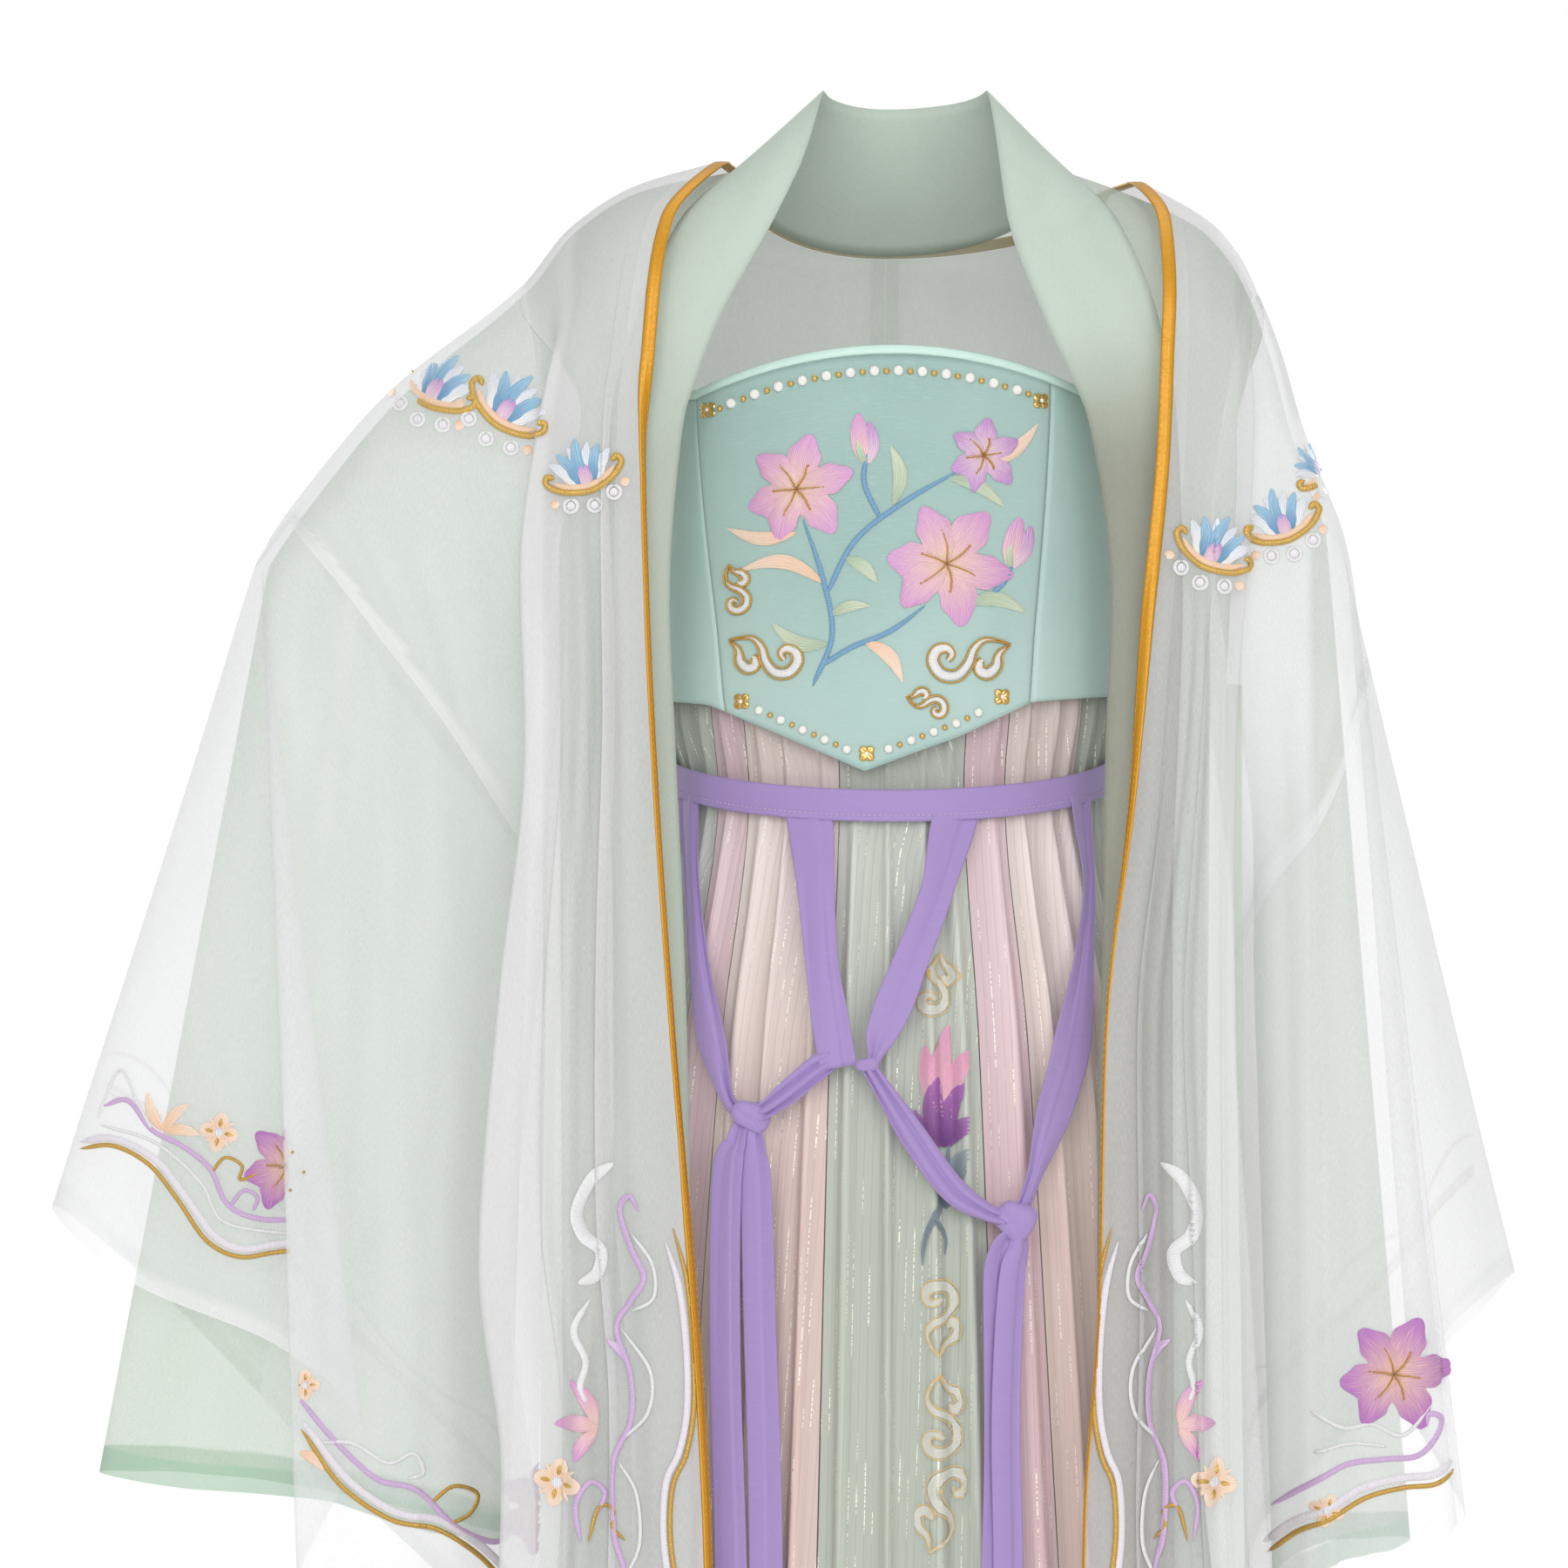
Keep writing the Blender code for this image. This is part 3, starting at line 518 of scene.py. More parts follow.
@dataclass(frozen=True)
class RobeForm:
    """The form of one robe: fronts, backs and sleeves as functions of two parameters.

    Every point is named by how far across its panel it is (0 to 1) and by its drop below the
    shoulder line, so that seams of neighbouring panels run through the same points.
    """

    cuts: dict[Side, SideCut]
    depth: tuple[tuple[float, float, float], ...]  # z, before and behind the shoulder line
    arm: float
    seam: float
    closed: tuple[float, float]
    closing: tuple[float, float]
    hem: float
    back_blend: float
    flare: float
    flare_drops: tuple[float, float] = (0.75, 1.36)
    shoulder_roll: float = 0.10
    arm_roll: float = 0.06
    neck_drop: float = 0.045
    neck_level: float = -0.036
    turn_at: float = 0.77
    turned: float = 0.435
    turn_radius: float = 0.0035
    behind_turn: float = 0.0045
    closed_y: float = -0.055
    gap: float = 0.0005
    piping: float = 0.008
    bow: float = 0.62

    def drops(self, count: int) -> Array:
        """Drops of a body's rows, closer together at the ridge and where the neckline ends.

        Args:
            count: number of rows.

        Returns:
            The drops, ridge first.
        """
        neck = self.neck_drop * (1 - np.cos(dense(0, math.pi, 18))) / 2
        over = dense(self.neck_drop, self.shoulder_roll, 7)[1:-1]
        rest = dense(self.shoulder_roll, -self.hem, count - len(neck) - len(over))
        return np.concatenate([neck, over, rest])

    def ridge_z(self, side: Side, x: Array | float) -> Array:
        """Height of the line over shoulder and arm."""
        xs, zs = zip(*self.cuts[side].ridge)
        return smooth(xs, zs, x)

    def stand(self, column: int, z: Array) -> Array:
        """How far the robe stands before (1) or behind (2) the shoulder line."""
        rows = np.array(self.depth)
        return smooth(rows[:, 0], rows[:, column], z)

    def spread(self, drop: Array) -> Array:
        """How far a body's side has spread over the skirt."""
        return self.flare * fade(drop, *self.flare_drops)

    def front(self, side: Side, across: Array, drop: Array) -> Array:
        """Points of a front, from its free edge (0) to its armhole seam (1).

        The cloth spans from edge to seam at each height, bowed like a shallow ellipse, and where
        the cut has a fold, the last part turns under behind it in a half circle.

        Args:
            side: the wearer's side.
            across: shares from edge to seam.
            drop: drops of the rows.

        Returns:
            The grid of points.
        """
        cut = self.cuts[side]
        z = self.ridge_z(side, cut.neck + (self.arm - cut.neck) * across) - drop
        edge_z = self.ridge_z(side, cut.neck) - drop
        seam_z = self.ridge_z(side, self.arm) - drop
        edge = smooth(*zip(*cut.edge), edge_z) + self.gap
        turning, fold = 0.0, 0.0
        flat_seam = self.arm + (self.seam - self.arm) * fade(drop, 0.0, 0.10) + self.spread(drop)
        if cut.fold:
            edge = edge + self.piping * smooth(*zip(*cut.trim), edge_z)
            fold = smooth(*zip(*cut.fold), seam_z)
            turning = fade(drop, 0.02, 0.10)
            flat_seam = self.arm + (fold + 0.010 - self.arm) * fade(drop, 0.0, 0.10)
        past = np.clip((across - self.turn_at) / (1 - self.turn_at), 0.0, 1.0)
        angle = math.pi * np.clip(past / (1 - self.turned), 0.0, 1.0)
        behind = cut.turn_reach * np.clip(past - (1 - self.turned), 0.0, 1.0) / self.turned
        reach = (fold - self.turn_radius - edge) * np.minimum(across / self.turn_at, 1.0)
        turned_x = edge + reach + self.turn_radius * np.sin(angle) - behind
        flat_x = edge + (flat_seam - edge) * across
        x = flat_x + (turned_x - flat_x) * turning
        y = -self.stand(1, z) * np.sqrt(1 - (x / self.bow) ** 2) * roll(drop, self.shoulder_roll)
        wave = np.sin(4 * math.pi * np.clip(across / self.turn_at, 0, 1))
        y = y - 0.003 * wave * fade(drop, 0.1, 0.4) + self.turn_radius * (1 - np.cos(angle)) * turning
        return outward(side, x, y, z)

    def back(self, side: Side, across: Array, drop: Array) -> Array:
        """Points of a back, from the neckline and centre back (0) to the armhole seam (1).

        Args:
            side: the wearer's side.
            across: shares from neckline to seam.
            drop: drops of the rows.

        Returns:
            The grid of points.
        """
        neck = self.cuts[side].neck
        z = self.ridge_z(side, neck + (self.arm - neck) * across) - drop
        lift = self.neck_level + self.neck_drop - self.ridge_z(side, neck)
        z = z + lift * (1 - across) ** 2 * fade(drop, 0.0, self.neck_drop)
        middle = neck * np.sqrt(1 - np.clip(drop / self.neck_drop, 0, 1) ** 2) + 0.00005
        seam = self.arm + (self.seam - self.arm) * fade(drop, 0.0, 0.15) + self.spread(drop)
        x = middle + (seam - middle) * across
        y = self.stand(2, z) * np.sqrt(1 - (x / self.bow) ** 2) * roll(drop, self.shoulder_roll)
        ripple = 0.004 * np.sin(5 * math.pi * across) * fade(drop, 0.15, 0.5)
        return outward(side, x, y + ripple, z)

    def sleeve(self, side: Side, along: Array, at: Array, gap: float = 0.0) -> Array:
        """Points of a sleeve, each column hanging from the ridge to its place on the mouth.

        Args:
            side: which sleeve.
            along: 0 to 1 from the ridge to the diagonal seam, 1 to 2 from there to the mouth.
            at: places round the mouth, 0 to 1 from the front seam to the back seam.
            gap: half the gap between the two walls below the underarm.

        Returns:
            The grid. Its first and last columns follow the armhole, then close into one line.
        """
        cut = self.cuts[side]
        rows = np.array(cut.mouth)
        last = len(rows) - 1
        place = np.asarray(at) * last
        share, mouth_x, mouth_y, mouth_z = (smooth(np.arange(last + 1), c, place) for c in rows.T)
        arm, elbow = self.arm + self.gap, cut.ridge[-1][0]
        ridge_x = arm + (elbow - arm) * share
        top_z = self.ridge_z(side, ridge_x)
        at_shoulder, at_elbow = cut.seam_drop
        seam_drop = np.maximum(at_shoulder + (at_elbow - at_shoulder) * share, 0.004)
        length = top_z - mouth_z
        s = np.asarray(along)[:, None]
        drop = np.where(s <= 1, seam_drop * s**2, seam_drop + (length - seam_drop) * (s - 1))
        x = ridge_x + (mouth_x - ridge_x) * drop / length
        facing = np.where(place < np.argmax(rows[:, 0]), -1, 1)
        y = mouth_y * roll(drop, self.arm_roll) + facing * self.gap / 2
        points = outward(side, x, y, top_z - drop)
        shares = (np.clip(1 - place / 1.5, 0, 1), np.clip(1 - (last - place) / self.back_blend, 0, 1))
        for column, share_of, seam_of, sign in zip((0, -1), shares, (self.front, self.back), (1, -1)):
            down = drop[:, column]
            sewn = seam_of(side, np.ones(1), down[:, None])[:, 0]
            tucked = fade(down, 0.02, 0.10) if column == 0 and cut.fold else 0.0
            sewn[:, 0] += side.value * self.gap * (1 - tucked)
            sewn[:, 1] += self.behind_turn * tucked
            closing = fade(down / at_shoulder, *self.closing)
            past = np.clip((down - at_shoulder) / (length[column] - at_shoulder), 0.0, 1.0)
            closed_x = self.closed[0] + (self.closed[1] - self.closed[0]) * past
            closed = outward(side, closed_x, self.closed_y - sign * gap, sewn[:, 2])
            wanted = sewn + (closed - sewn) * closing[:, None]
            shift = wanted - points[:, column]
            points = points + shift[:, None] * share_of[None, :, None]
        return points


FIGURE = Figure()
OUTER_RIGHT = SideCut(
    neck=0.1028,
    ridge=mm(102.8, 15, 158, 0, 203, -26.6, 237, -65, 322, -133, 384, -206, 409.6, -243),
    mouth=((0.0, 0.226, -0.104, -0.985), (0.35, 0.268, -0.106, -0.99), (0.65, 0.32, -0.103, -0.96),
        (0.9, 0.366, -0.098, -0.9), (0.93, 0.373, -0.092, -0.885), (0.945, 0.352, -0.082, -0.84),
        (0.955, 0.334, -0.071, -0.8), (0.965, 0.352, -0.06, -0.772), (0.975, 0.395, -0.056, -0.742),
        (0.985, 0.486, -0.042, -0.705), (1.0, 0.54, 0.0, -0.661), (0.8, 0.48, 0.05, -0.72),
        (0.45, 0.38, 0.075, -0.82), (0.15, 0.27, 0.11, -0.92), (0.0, 0.226, 0.118, -0.96)),
    edge=mm(-1340, 100, -1100, 106, -840, 113, -710, 121, -550, 135, -390, 146.5, -280, 152, -180, 154.6,
        -120, 149, -70, 144.7, -30, 137, 15, 102.8),
    fold=mm(-1340, 274, -1100, 256, -840, 242, -710, 257, -550, 246, -390, 230, -280, 233, -180, 220,
        -120, 208, -70, 203, 15, 202),
    turn_reach=0.018,
    seam_drop=(0.385, -0.052),
    trim=((-1.34, 0.55), (-0.84, 0.55), (-0.66, 0.5), (-0.6, 0.35), (-0.2, 0.3), (-0.17, 0.45),
        (-0.13, 1.0), (0.02, 1.0)),
)
OUTER_LEFT = SideCut(
    neck=0.146,
    ridge=mm(146, 2, 198, -22.6, 220, -42.4, 237, -70.6, 249.7, -104.5, 262, -150, 288, -217.5),
    mouth=((0.0, 0.226, -0.104, -0.93), (0.35, 0.248, -0.106, -0.915), (0.65, 0.3, -0.103, -0.89),
        (0.9, 0.352, -0.094, -0.855), (0.93, 0.361, -0.088, -0.848), (0.945, 0.345, -0.079, -0.815),
        (0.955, 0.33, -0.07, -0.785), (0.965, 0.34, -0.06, -0.762), (0.975, 0.352, -0.055, -0.745),
        (0.985, 0.38, -0.04, -0.722), (1.0, 0.408, 0.0, -0.703), (0.8, 0.375, 0.05, -0.74),
        (0.45, 0.31, 0.075, -0.8), (0.15, 0.24, 0.11, -0.87), (0.0, 0.226, 0.118, -0.9)),
    edge=mm(-1340, 106, -1100, 111, -840, 116, -710, 126, -550, 131, -390, 147.5, -280, 154.6, -180, 164,
        -120, 167, -70, 169, -30, 168, 15, 146),
    fold=mm(-1340, 272, -1100, 248, -840, 227, -710, 220, -550, 212, -390, 214, -280, 221, -180, 226,
        -120, 222, -70, 218, 15, 215),
    turn_reach=0.007,
    seam_drop=(0.43, 0.1),
    trim=((-1.34, 0.0), (-0.5, 0.0), (-0.44, 0.22), (-0.38, 0.45), (-0.29, 0.9), (-0.25, 1.0), (0.02, 1.0)),
)
OUTER_FORM = RobeForm(
    cuts={Side.RIGHT: OUTER_RIGHT, Side.LEFT: OUTER_LEFT},
    depth=(
        (-1.42, 0.240, 0.244), (-1.15, 0.214, 0.222), (-0.90, 0.184, 0.198),
        (-0.70, 0.162, 0.176), (-0.55, 0.145, 0.160), (-0.40, 0.132, 0.147),
        (-0.20, 0.127, 0.133), (-0.10, 0.118, 0.122), (0.10, 0.105, 0.108),
    ),
    arm=0.237,
    seam=0.214,
    closed=(0.219, 0.226),
    closing=(0.45, 1.0),
    hem=-1.34,
    back_blend=3.0,
    flare=0.062,
)
INNER_RIGHT = SideCut(
    neck=0.096,
    ridge=mm(96, 10, 158, -3, 203, -30, 232, -66.5, 316, -137, 377, -209.5, 402, -246),
    mouth=((0.0, 0.246, -0.092, -0.87), (0.4, 0.29, -0.078, -0.862), (0.75, 0.37, -0.04, -0.845),
        (0.95, 0.47, -0.024, -0.838), (1.0, 0.512, 0.0, -0.833), (0.8, 0.46, 0.026, -0.838),
        (0.4, 0.33, 0.045, -0.852), (0.0, 0.246, 0.08, -0.866)),
    edge=mm(-1290, 168, -860, 172, -470, 174, -360, 178, -270, 180, -160, 176, -100, 162, -30, 133, 10, 96),
    seam_drop=(0.385, 0.03),
)
INNER_LEFT = SideCut(
    neck=0.11,
    ridge=mm(110, 10, 150, -4, 198, -26.5, 218, -47, 232, -72.5, 244.5, -108.5, 257, -154, 283, -221.5),
    mouth=((0.0, 0.246, -0.092, -0.895), (0.4, 0.262, -0.078, -0.892), (0.75, 0.285, -0.04, -0.885),
        (0.95, 0.322, -0.024, -0.88), (1.0, 0.338, 0.0, -0.876), (0.8, 0.31, 0.026, -0.88),
        (0.4, 0.26, 0.045, -0.888), (0.0, 0.246, 0.08, -0.893)),
    edge=mm(-1290, 168, -860, 172, -470, 174, -360, 178, -270, 181, -160, 178, -100, 168, -30, 142, 10, 110),
    seam_drop=(0.43, 0.1),
)
INNER_FORM = RobeForm(
    cuts={Side.RIGHT: INNER_RIGHT, Side.LEFT: INNER_LEFT},
    depth=(
        (-1.42, 0.208, 0.222), (-1.15, 0.184, 0.200), (-0.90, 0.156, 0.176),
        (-0.70, 0.136, 0.156), (-0.55, 0.121, 0.141), (-0.40, 0.110, 0.130),
        (-0.20, 0.106, 0.118), (-0.10, 0.099, 0.108), (0.10, 0.090, 0.095),
    ),
    arm=0.232,
    seam=0.219,
    closed=(0.231, 0.243),
    closing=(0.30, 0.85),
    hem=-1.29,
    back_blend=1.6,
    flare=0.052,
    neck_level=-0.035,
)


# ---------------- shaders
class Socket:
    """A value, vector or colour in a node graph, with arithmetic on it."""

    def __init__(self, net: "Net", output: bpy.types.NodeSocket) -> None:
        """Keeps the graph and the output that this stands for."""
        self.net = net
        self.output = output

    def maths(self, kind: str, *others: "Socket | float") -> "Socket":
        """This value put through a Math node with others."""
        return self.net.math(kind, self, *others)

    def __add__(self, other: "Socket | float") -> "Socket":
        """Sum of the two."""
        return self.maths("ADD", other)

    def __radd__(self, other: float) -> "Socket":
        """Sum, with the number first."""
        return self.net.math("ADD", other, self)

    def __sub__(self, other: "Socket | float") -> "Socket":
        """The value less the other."""
        return self.maths("SUBTRACT", other)

    def __rsub__(self, other: float) -> "Socket":
        """The number less the value."""
        return self.net.math("SUBTRACT", other, self)

    def __mul__(self, other: "Socket | float") -> "Socket":
        """Product of the two."""
        return self.maths("MULTIPLY", other)

    def __truediv__(self, other: "Socket | float") -> "Socket":
        """The value divided by the other."""
        return self.maths("DIVIDE", other)

    def above(self, edge: "Socket | float", soft: float = 0.0) -> "Socket":
        """1 where the value is over the edge, with a ramp of the given width.

        Args:
            edge: the value to pass.
            soft: width of the ramp, 0 for a hard step.

        Returns:
            The mask.
        """
        if soft == 0.0:
            return self.maths("GREATER_THAN", edge)
        ramp = (self - edge) / soft + 0.5
        ramp.output.node.use_clamp = True
        return ramp


class Net:
    """The node graph of one material, or of the world."""

    def __init__(self, owner: bpy.types.Material | bpy.types.World) -> None:
        """Opens the owner's graph and empties it."""
        owner.use_nodes = True
        self.tree = owner.node_tree
        self.tree.nodes.clear()

    def put(self, socket: bpy.types.NodeSocket, value: object) -> None:
        """Links a Socket to an input, or sets the input's own value.

        Args:
            socket: the input.
            value: a Socket, a number or a colour.
        """
        if isinstance(value, Socket):
            self.tree.links.new(value.output, socket)
        elif isinstance(value, tuple) and socket.type == "RGBA":
            socket.default_value = (*value[:3], 1.0)
        else:
            socket.default_value = value

    def node(self, kind: str, out: str | int = 0, settings: dict | None = None, **values) -> Socket:
        """Adds a node and returns one of its outputs.

        Args:
            kind: the node's type without its prefix.
            out: name or number of the output.
            settings: properties of the node.
            values: inputs by name, with _ for a space, or in0, in1 and so on by number.

        Returns:
            The output.
        """
        made = self.tree.nodes.new("ShaderNode" + kind)
        for key, value in (settings or {}).items():
            setattr(made, key, value)
        for key, value in values.items():
            number = key[2:]
            by_number = key.startswith("in") and number.isdigit()
            self.put(made.inputs[int(number) if by_number else key.replace("_", " ")], value)
        return Socket(self, made.outputs[out])

    def math(self, kind: str, *operands: "Socket | float") -> Socket:
        """A Math node of the operands."""
        values = {f"in{i}": value for i, value in enumerate(operands)}
        return self.node("Math", settings={"operation": kind}, **values)

    def mix(self, share: "Socket | float", first: object, second: object) -> Socket:
        """The first colour, with a share of the second."""
        settings = {"data_type": "RGBA", "clamp_factor": True}
        return self.node("Mix", 2, settings, in0=share, in6=first, in7=second)

    def lengths(self) -> None:
        """Reads the lengths across and along the cloth, in metres, as u and v."""
        place = self.node("UVMap", settings={"uv_map": "cloth"})
        self.u = self.node("SeparateXYZ", Vector=place)
        self.v = Socket(self, self.u.output.node.outputs[1])

    def grain(self, u: "Socket | float", v: float, detail: float = 1.0) -> Socket:
        """Noise stretched by the counts of its grains in a metre across and along the cloth.

        Args:
            u: grains in a metre across, or a value of its own to read across.
            v: grains in a metre along.
            detail: how fine its finest parts are.

        Returns:
            The noise, about 0 to 1.
        """
        across = u if isinstance(u, Socket) else self.u * u
        spot = self.node("CombineXYZ", X=across, Y=self.v * v)
        return self.node("TexNoise", 0, Vector=spot, Scale=1.0, Detail=detail)

    def shade(self) -> Socket:
        """The cloth's own value at each point."""
        return self.node("Attribute", "Fac", {"attribute_name": "shade"})

    def clouds(self, scale: float) -> Socket:
        """Smooth noise of about 0 to 1 in object space."""
        place = self.node("TexCoord", "Object")
        return self.node("TexNoise", 0, Vector=place, Scale=scale, Detail=2.0)

    def bump(self, height: Socket, depth: float, strength: float = 1.0) -> Socket:
        """A normal bumped by a height of 0 to 1, the depth in metres."""
        return self.node("Bump", Height=height, Distance=depth, Strength=strength)

    def principled(self, **values) -> Socket:
        """A Principled BSDF on the material's output.

        Args:
            values: what its inputs get, by name.

        Returns:
            The shader.
        """
        shader = self.node("BsdfPrincipled", **values)
        self.finish(shader)
        return shader

    def finish(self, shader: Socket) -> None:
        """Puts a shader on the output."""
        last = self.tree.nodes.new("ShaderNodeOutputMaterial")
        self.tree.links.new(shader.output, last.inputs["Surface"])


def new_net(name: str, colour: Colour) -> tuple[bpy.types.Material, Net]:
    """A new material and its empty graph.

    Args:
        name: of the material.
        colour: shown where the graph is not.

    Returns:
        The material and the graph.
    """
    made = bpy.data.materials.new(name)
    made.diffuse_color = (*colour, 1.0)
    return made, Net(made)


def linear(red: int, green: int, blue: int) -> Colour:
    """Scene-linear colour of an sRGB one given as 0 to 255.

    Args:
        red, green, blue: the channels, 0 to 255.

    Returns:
        The colour.
    """
    def one(value: float) -> float:
        """One channel made linear."""
        value = value / 255
        return value / 12.92 if value <= 0.04045 else ((value + 0.055) / 1.055) ** 2.4

    return (one(red), one(green), one(blue))


@dataclass(frozen=True)
class Finish:
    """One finish: its name and colour, and its material, which each kind builds its own way."""

    name: str
    colour: Colour

    def start(self) -> tuple[bpy.types.Material, Net]:
        """A new material and its empty graph, which can read lengths on the cloth.

        Returns:
            The material and the graph.
        """
        made, net = new_net(self.name, self.colour)
        net.lengths()
        return made, net

    def times(self, share: float) -> Colour:
        """The colour made darker by a share."""
        return tuple(c * share for c in self.colour)


@dataclass(frozen=True)
class Chiffon(Finish):
    """Sheer plain-woven cloth: a fine uneven weave that lets part of what is behind show.

    The shade attribute counts cloth folded or sewn over itself: 1 is a second layer of the same
    cloth. Where it carries painted shade, on the collar band and on the outer body's left front, it
    thins the cloth, and on the band it mixes in a darker grey.
    """

    cover: float
    doubled: float = 0.30
    doubled_colour: Colour | None = None
    crinkle: float = 0.0006

    def make(self) -> bpy.types.Material:
        """Builds the material.

        Threads are stretched noise along both directions of the cloth. They vary the cover and
        the colour a little, and soft crinkles bump it.

        Returns:
            The material.
        """
        made, net = self.start()
        weave = net.grain(1500.0, 240.0)
        cloud = net.grain(26.0, 6.0)
        layers_and_painted_shade = net.shade()
        alpha = self.cover + (weave - 0.5) * 0.16 + (cloud - 0.5) * 0.14 + layers_and_painted_shade * self.doubled
        base = net.mix(cloud, self.times(0.93), self.colour)
        base = net.mix(layers_and_painted_shade, base, self.doubled_colour or self.colour)
        height = cloud * 0.75 + weave * 0.25
        net.principled(
            Base_Color=base,
            Roughness=0.78,
            Alpha=alpha,
            Normal=net.bump(height, self.crinkle, 0.8),
            Specular_IOR_Level=0.15,
        )
        return made


@dataclass(frozen=True)
class Satin(Finish):
    """Woven satin: a soft shine broken by threads that run along the cloth, with slubs."""

    light: Colour
    roughness: float = 0.38
    slub: float = 0.5
    sheen: float = 0.2
    metallic: float = 0.0

    def make(self) -> bpy.types.Material:
        """Builds the material.

        Short stretched noise gives the slubs and fine stretched noise the threads. The shade
        attribute leads from the colour to the light one; on the bodice it is painted light and shade.

        Returns:
            The material.
        """
        made, net = self.start()
        threads = net.grain(140.0, 3200.0, 2.0)
        slubs = net.grain(95.0, 900.0, 2.0)
        broad = net.grain(14.0, 9.0, 2.0)
        knots = slubs.above(0.62, 0.16) * self.slub
        base = net.mix(net.shade() + (broad - 0.5) * 0.3, self.colour, self.light)
        base = net.mix(knots, base, tuple(min(1.0, c * 1.35 + 0.04) for c in self.colour))
        height = threads * 0.5 + slubs * 0.5
        net.principled(
            Base_Color=base,
            Roughness=self.roughness + (slubs - 0.5) * 0.25,
            Metallic=self.metallic,
            Normal=net.bump(height, 0.0004, 0.7),
            Sheen_Weight=self.sheen,
        )
        return made


@dataclass(frozen=True)
class Stitch(Finish):
    """Satin-stitch embroidery: threads laid side by side across each shape, with a silk shine."""

    tip: Colour
    metallic: float = 0.0
    roughness: float = 0.35

    def make(self) -> bpy.types.Material:
        """Builds the material: thin bands along each shape, and shade from the colour to the tip.

        Returns:
            The material.
        """
        made, net = self.start()
        wander = net.grain(90.0, 1500.0)
        thread = (net.v * 5200.0 + wander * 5.0).maths("SINE") * 0.5 + 0.5
        base = net.mix(net.shade() + (wander - 0.5) * 0.9, self.colour, self.tip)
        # Painted shade: the grooves between the threads are mixed to a darker copy of the tip colour.
        base = net.mix((1.0 - thread) * 0.30, base, tuple(c * 0.60 for c in self.tip))
        net.principled(
            Base_Color=base,
            Roughness=self.roughness,
            Metallic=self.metallic,
            Normal=net.bump(thread, 0.0003, 0.8),
            Sheen_Weight=0.1,
        )
        return made


@dataclass(frozen=True)
class Lurex(Finish):
    """Sheer pleated cloth with broken metal threads that run down it.

    The cloth deepens to its low colour towards the hem.
    """

    pale: Colour
    low: Colour
    gold: Colour = (1.0, 0.94, 0.80)
    cover: float = 0.90
    spacing: float = 0.0052

    def make(self) -> bpy.types.Material:
        """Builds the material.

        Each line is where the place across, divided by the spacing, is near a whole number. Noise
        that is stretched down the cloth breaks the lines up, gathers the cloth into narrow
        streaks that are darkened by painted shade, and clouds its colour.

        Returns:
            The material.
        """
        made, net = self.start()
        warp = net.grain(1800.0, 60.0)
        cloud = net.grain(13.0, 2.6)
        gather = net.grain(330.0, 3.2)
        step = net.u / self.spacing + (gather - 0.5) * 0.5
        column = step.maths("ROUND")
        near = (step - column).maths("ABSOLUTE")
        thread = 1.0 - near.above(0.05, 0.05)
        broken = net.grain(column * 3.7, 17.0).above(0.57, 0.05)
        sparkle = net.grain(column * 1.3, 620.0, 0.0).above(0.45, 0.12)
        line = thread * broken * sparkle
        base = net.mix(cloud.above(0.42, 0.2), self.colour, self.pale)
        base = net.mix(net.v.above(0.36, 0.32) * 0.85, base, self.low)
        # Painted shade: the gathered streaks are mixed darker.
        base = net.mix((gather - 0.35) * 0.9, base, self.times(0.80))
        # Painted shade from the shade attribute: the pleats' valleys and the skirt's top under the bodice.
        base = net.mix(net.shade() * 0.8, base, self.times(0.62))
        base = net.mix(thread * 0.42, base, self.times(0.50))
        base = net.mix(line, base, self.gold)
        net.principled(
            Base_Color=base,
            Roughness=0.72 - line * 0.40,
            Metallic=line * 0.2,
            Alpha=self.cover,
            Normal=net.bump(gather * 0.8 + warp * 0.2, 0.0014, 0.6),
        )
        return made


@dataclass(frozen=True)
class Ink(Finish):
    """A soft print on sheer cloth: its colour thins out unevenly."""

    tip: Colour
    cover: float

    def make(self) -> bpy.types.Material:
        """Builds the material, from the colour at each shape's root to the one at its tip.

        Returns:
            The material.
        """
        made, net = self.start()
        cloud = net.grain(120.0, 120.0, 2.0)
        weave = net.grain(1700.0, 1700.0, 0.0)
        net.principled(
            Base_Color=net.mix(net.shade(), self.colour, self.tip),
            Roughness=0.75,
            Alpha=self.cover + (cloud - 0.5) * 0.25 + (weave - 0.5) * 0.20,
        )
        return made


@dataclass(frozen=True)
class Gloss(Finish):
    """Pearls and metal beads."""

    roughness: float
    metallic: float = 0.0
    coat: float = 0.5

    def make(self) -> bpy.types.Material:
        """Builds the material, its colour clouded a little.

        Returns:
            The material.
        """
        made, net = new_net(self.name, self.colour)
        cloud = net.clouds(300.0)
        net.principled(
            Base_Color=net.mix(cloud, self.times(0.85), self.colour),
            Roughness=self.roughness,
            Metallic=self.metallic,
            Coat_Weight=self.coat,
        )
        return made


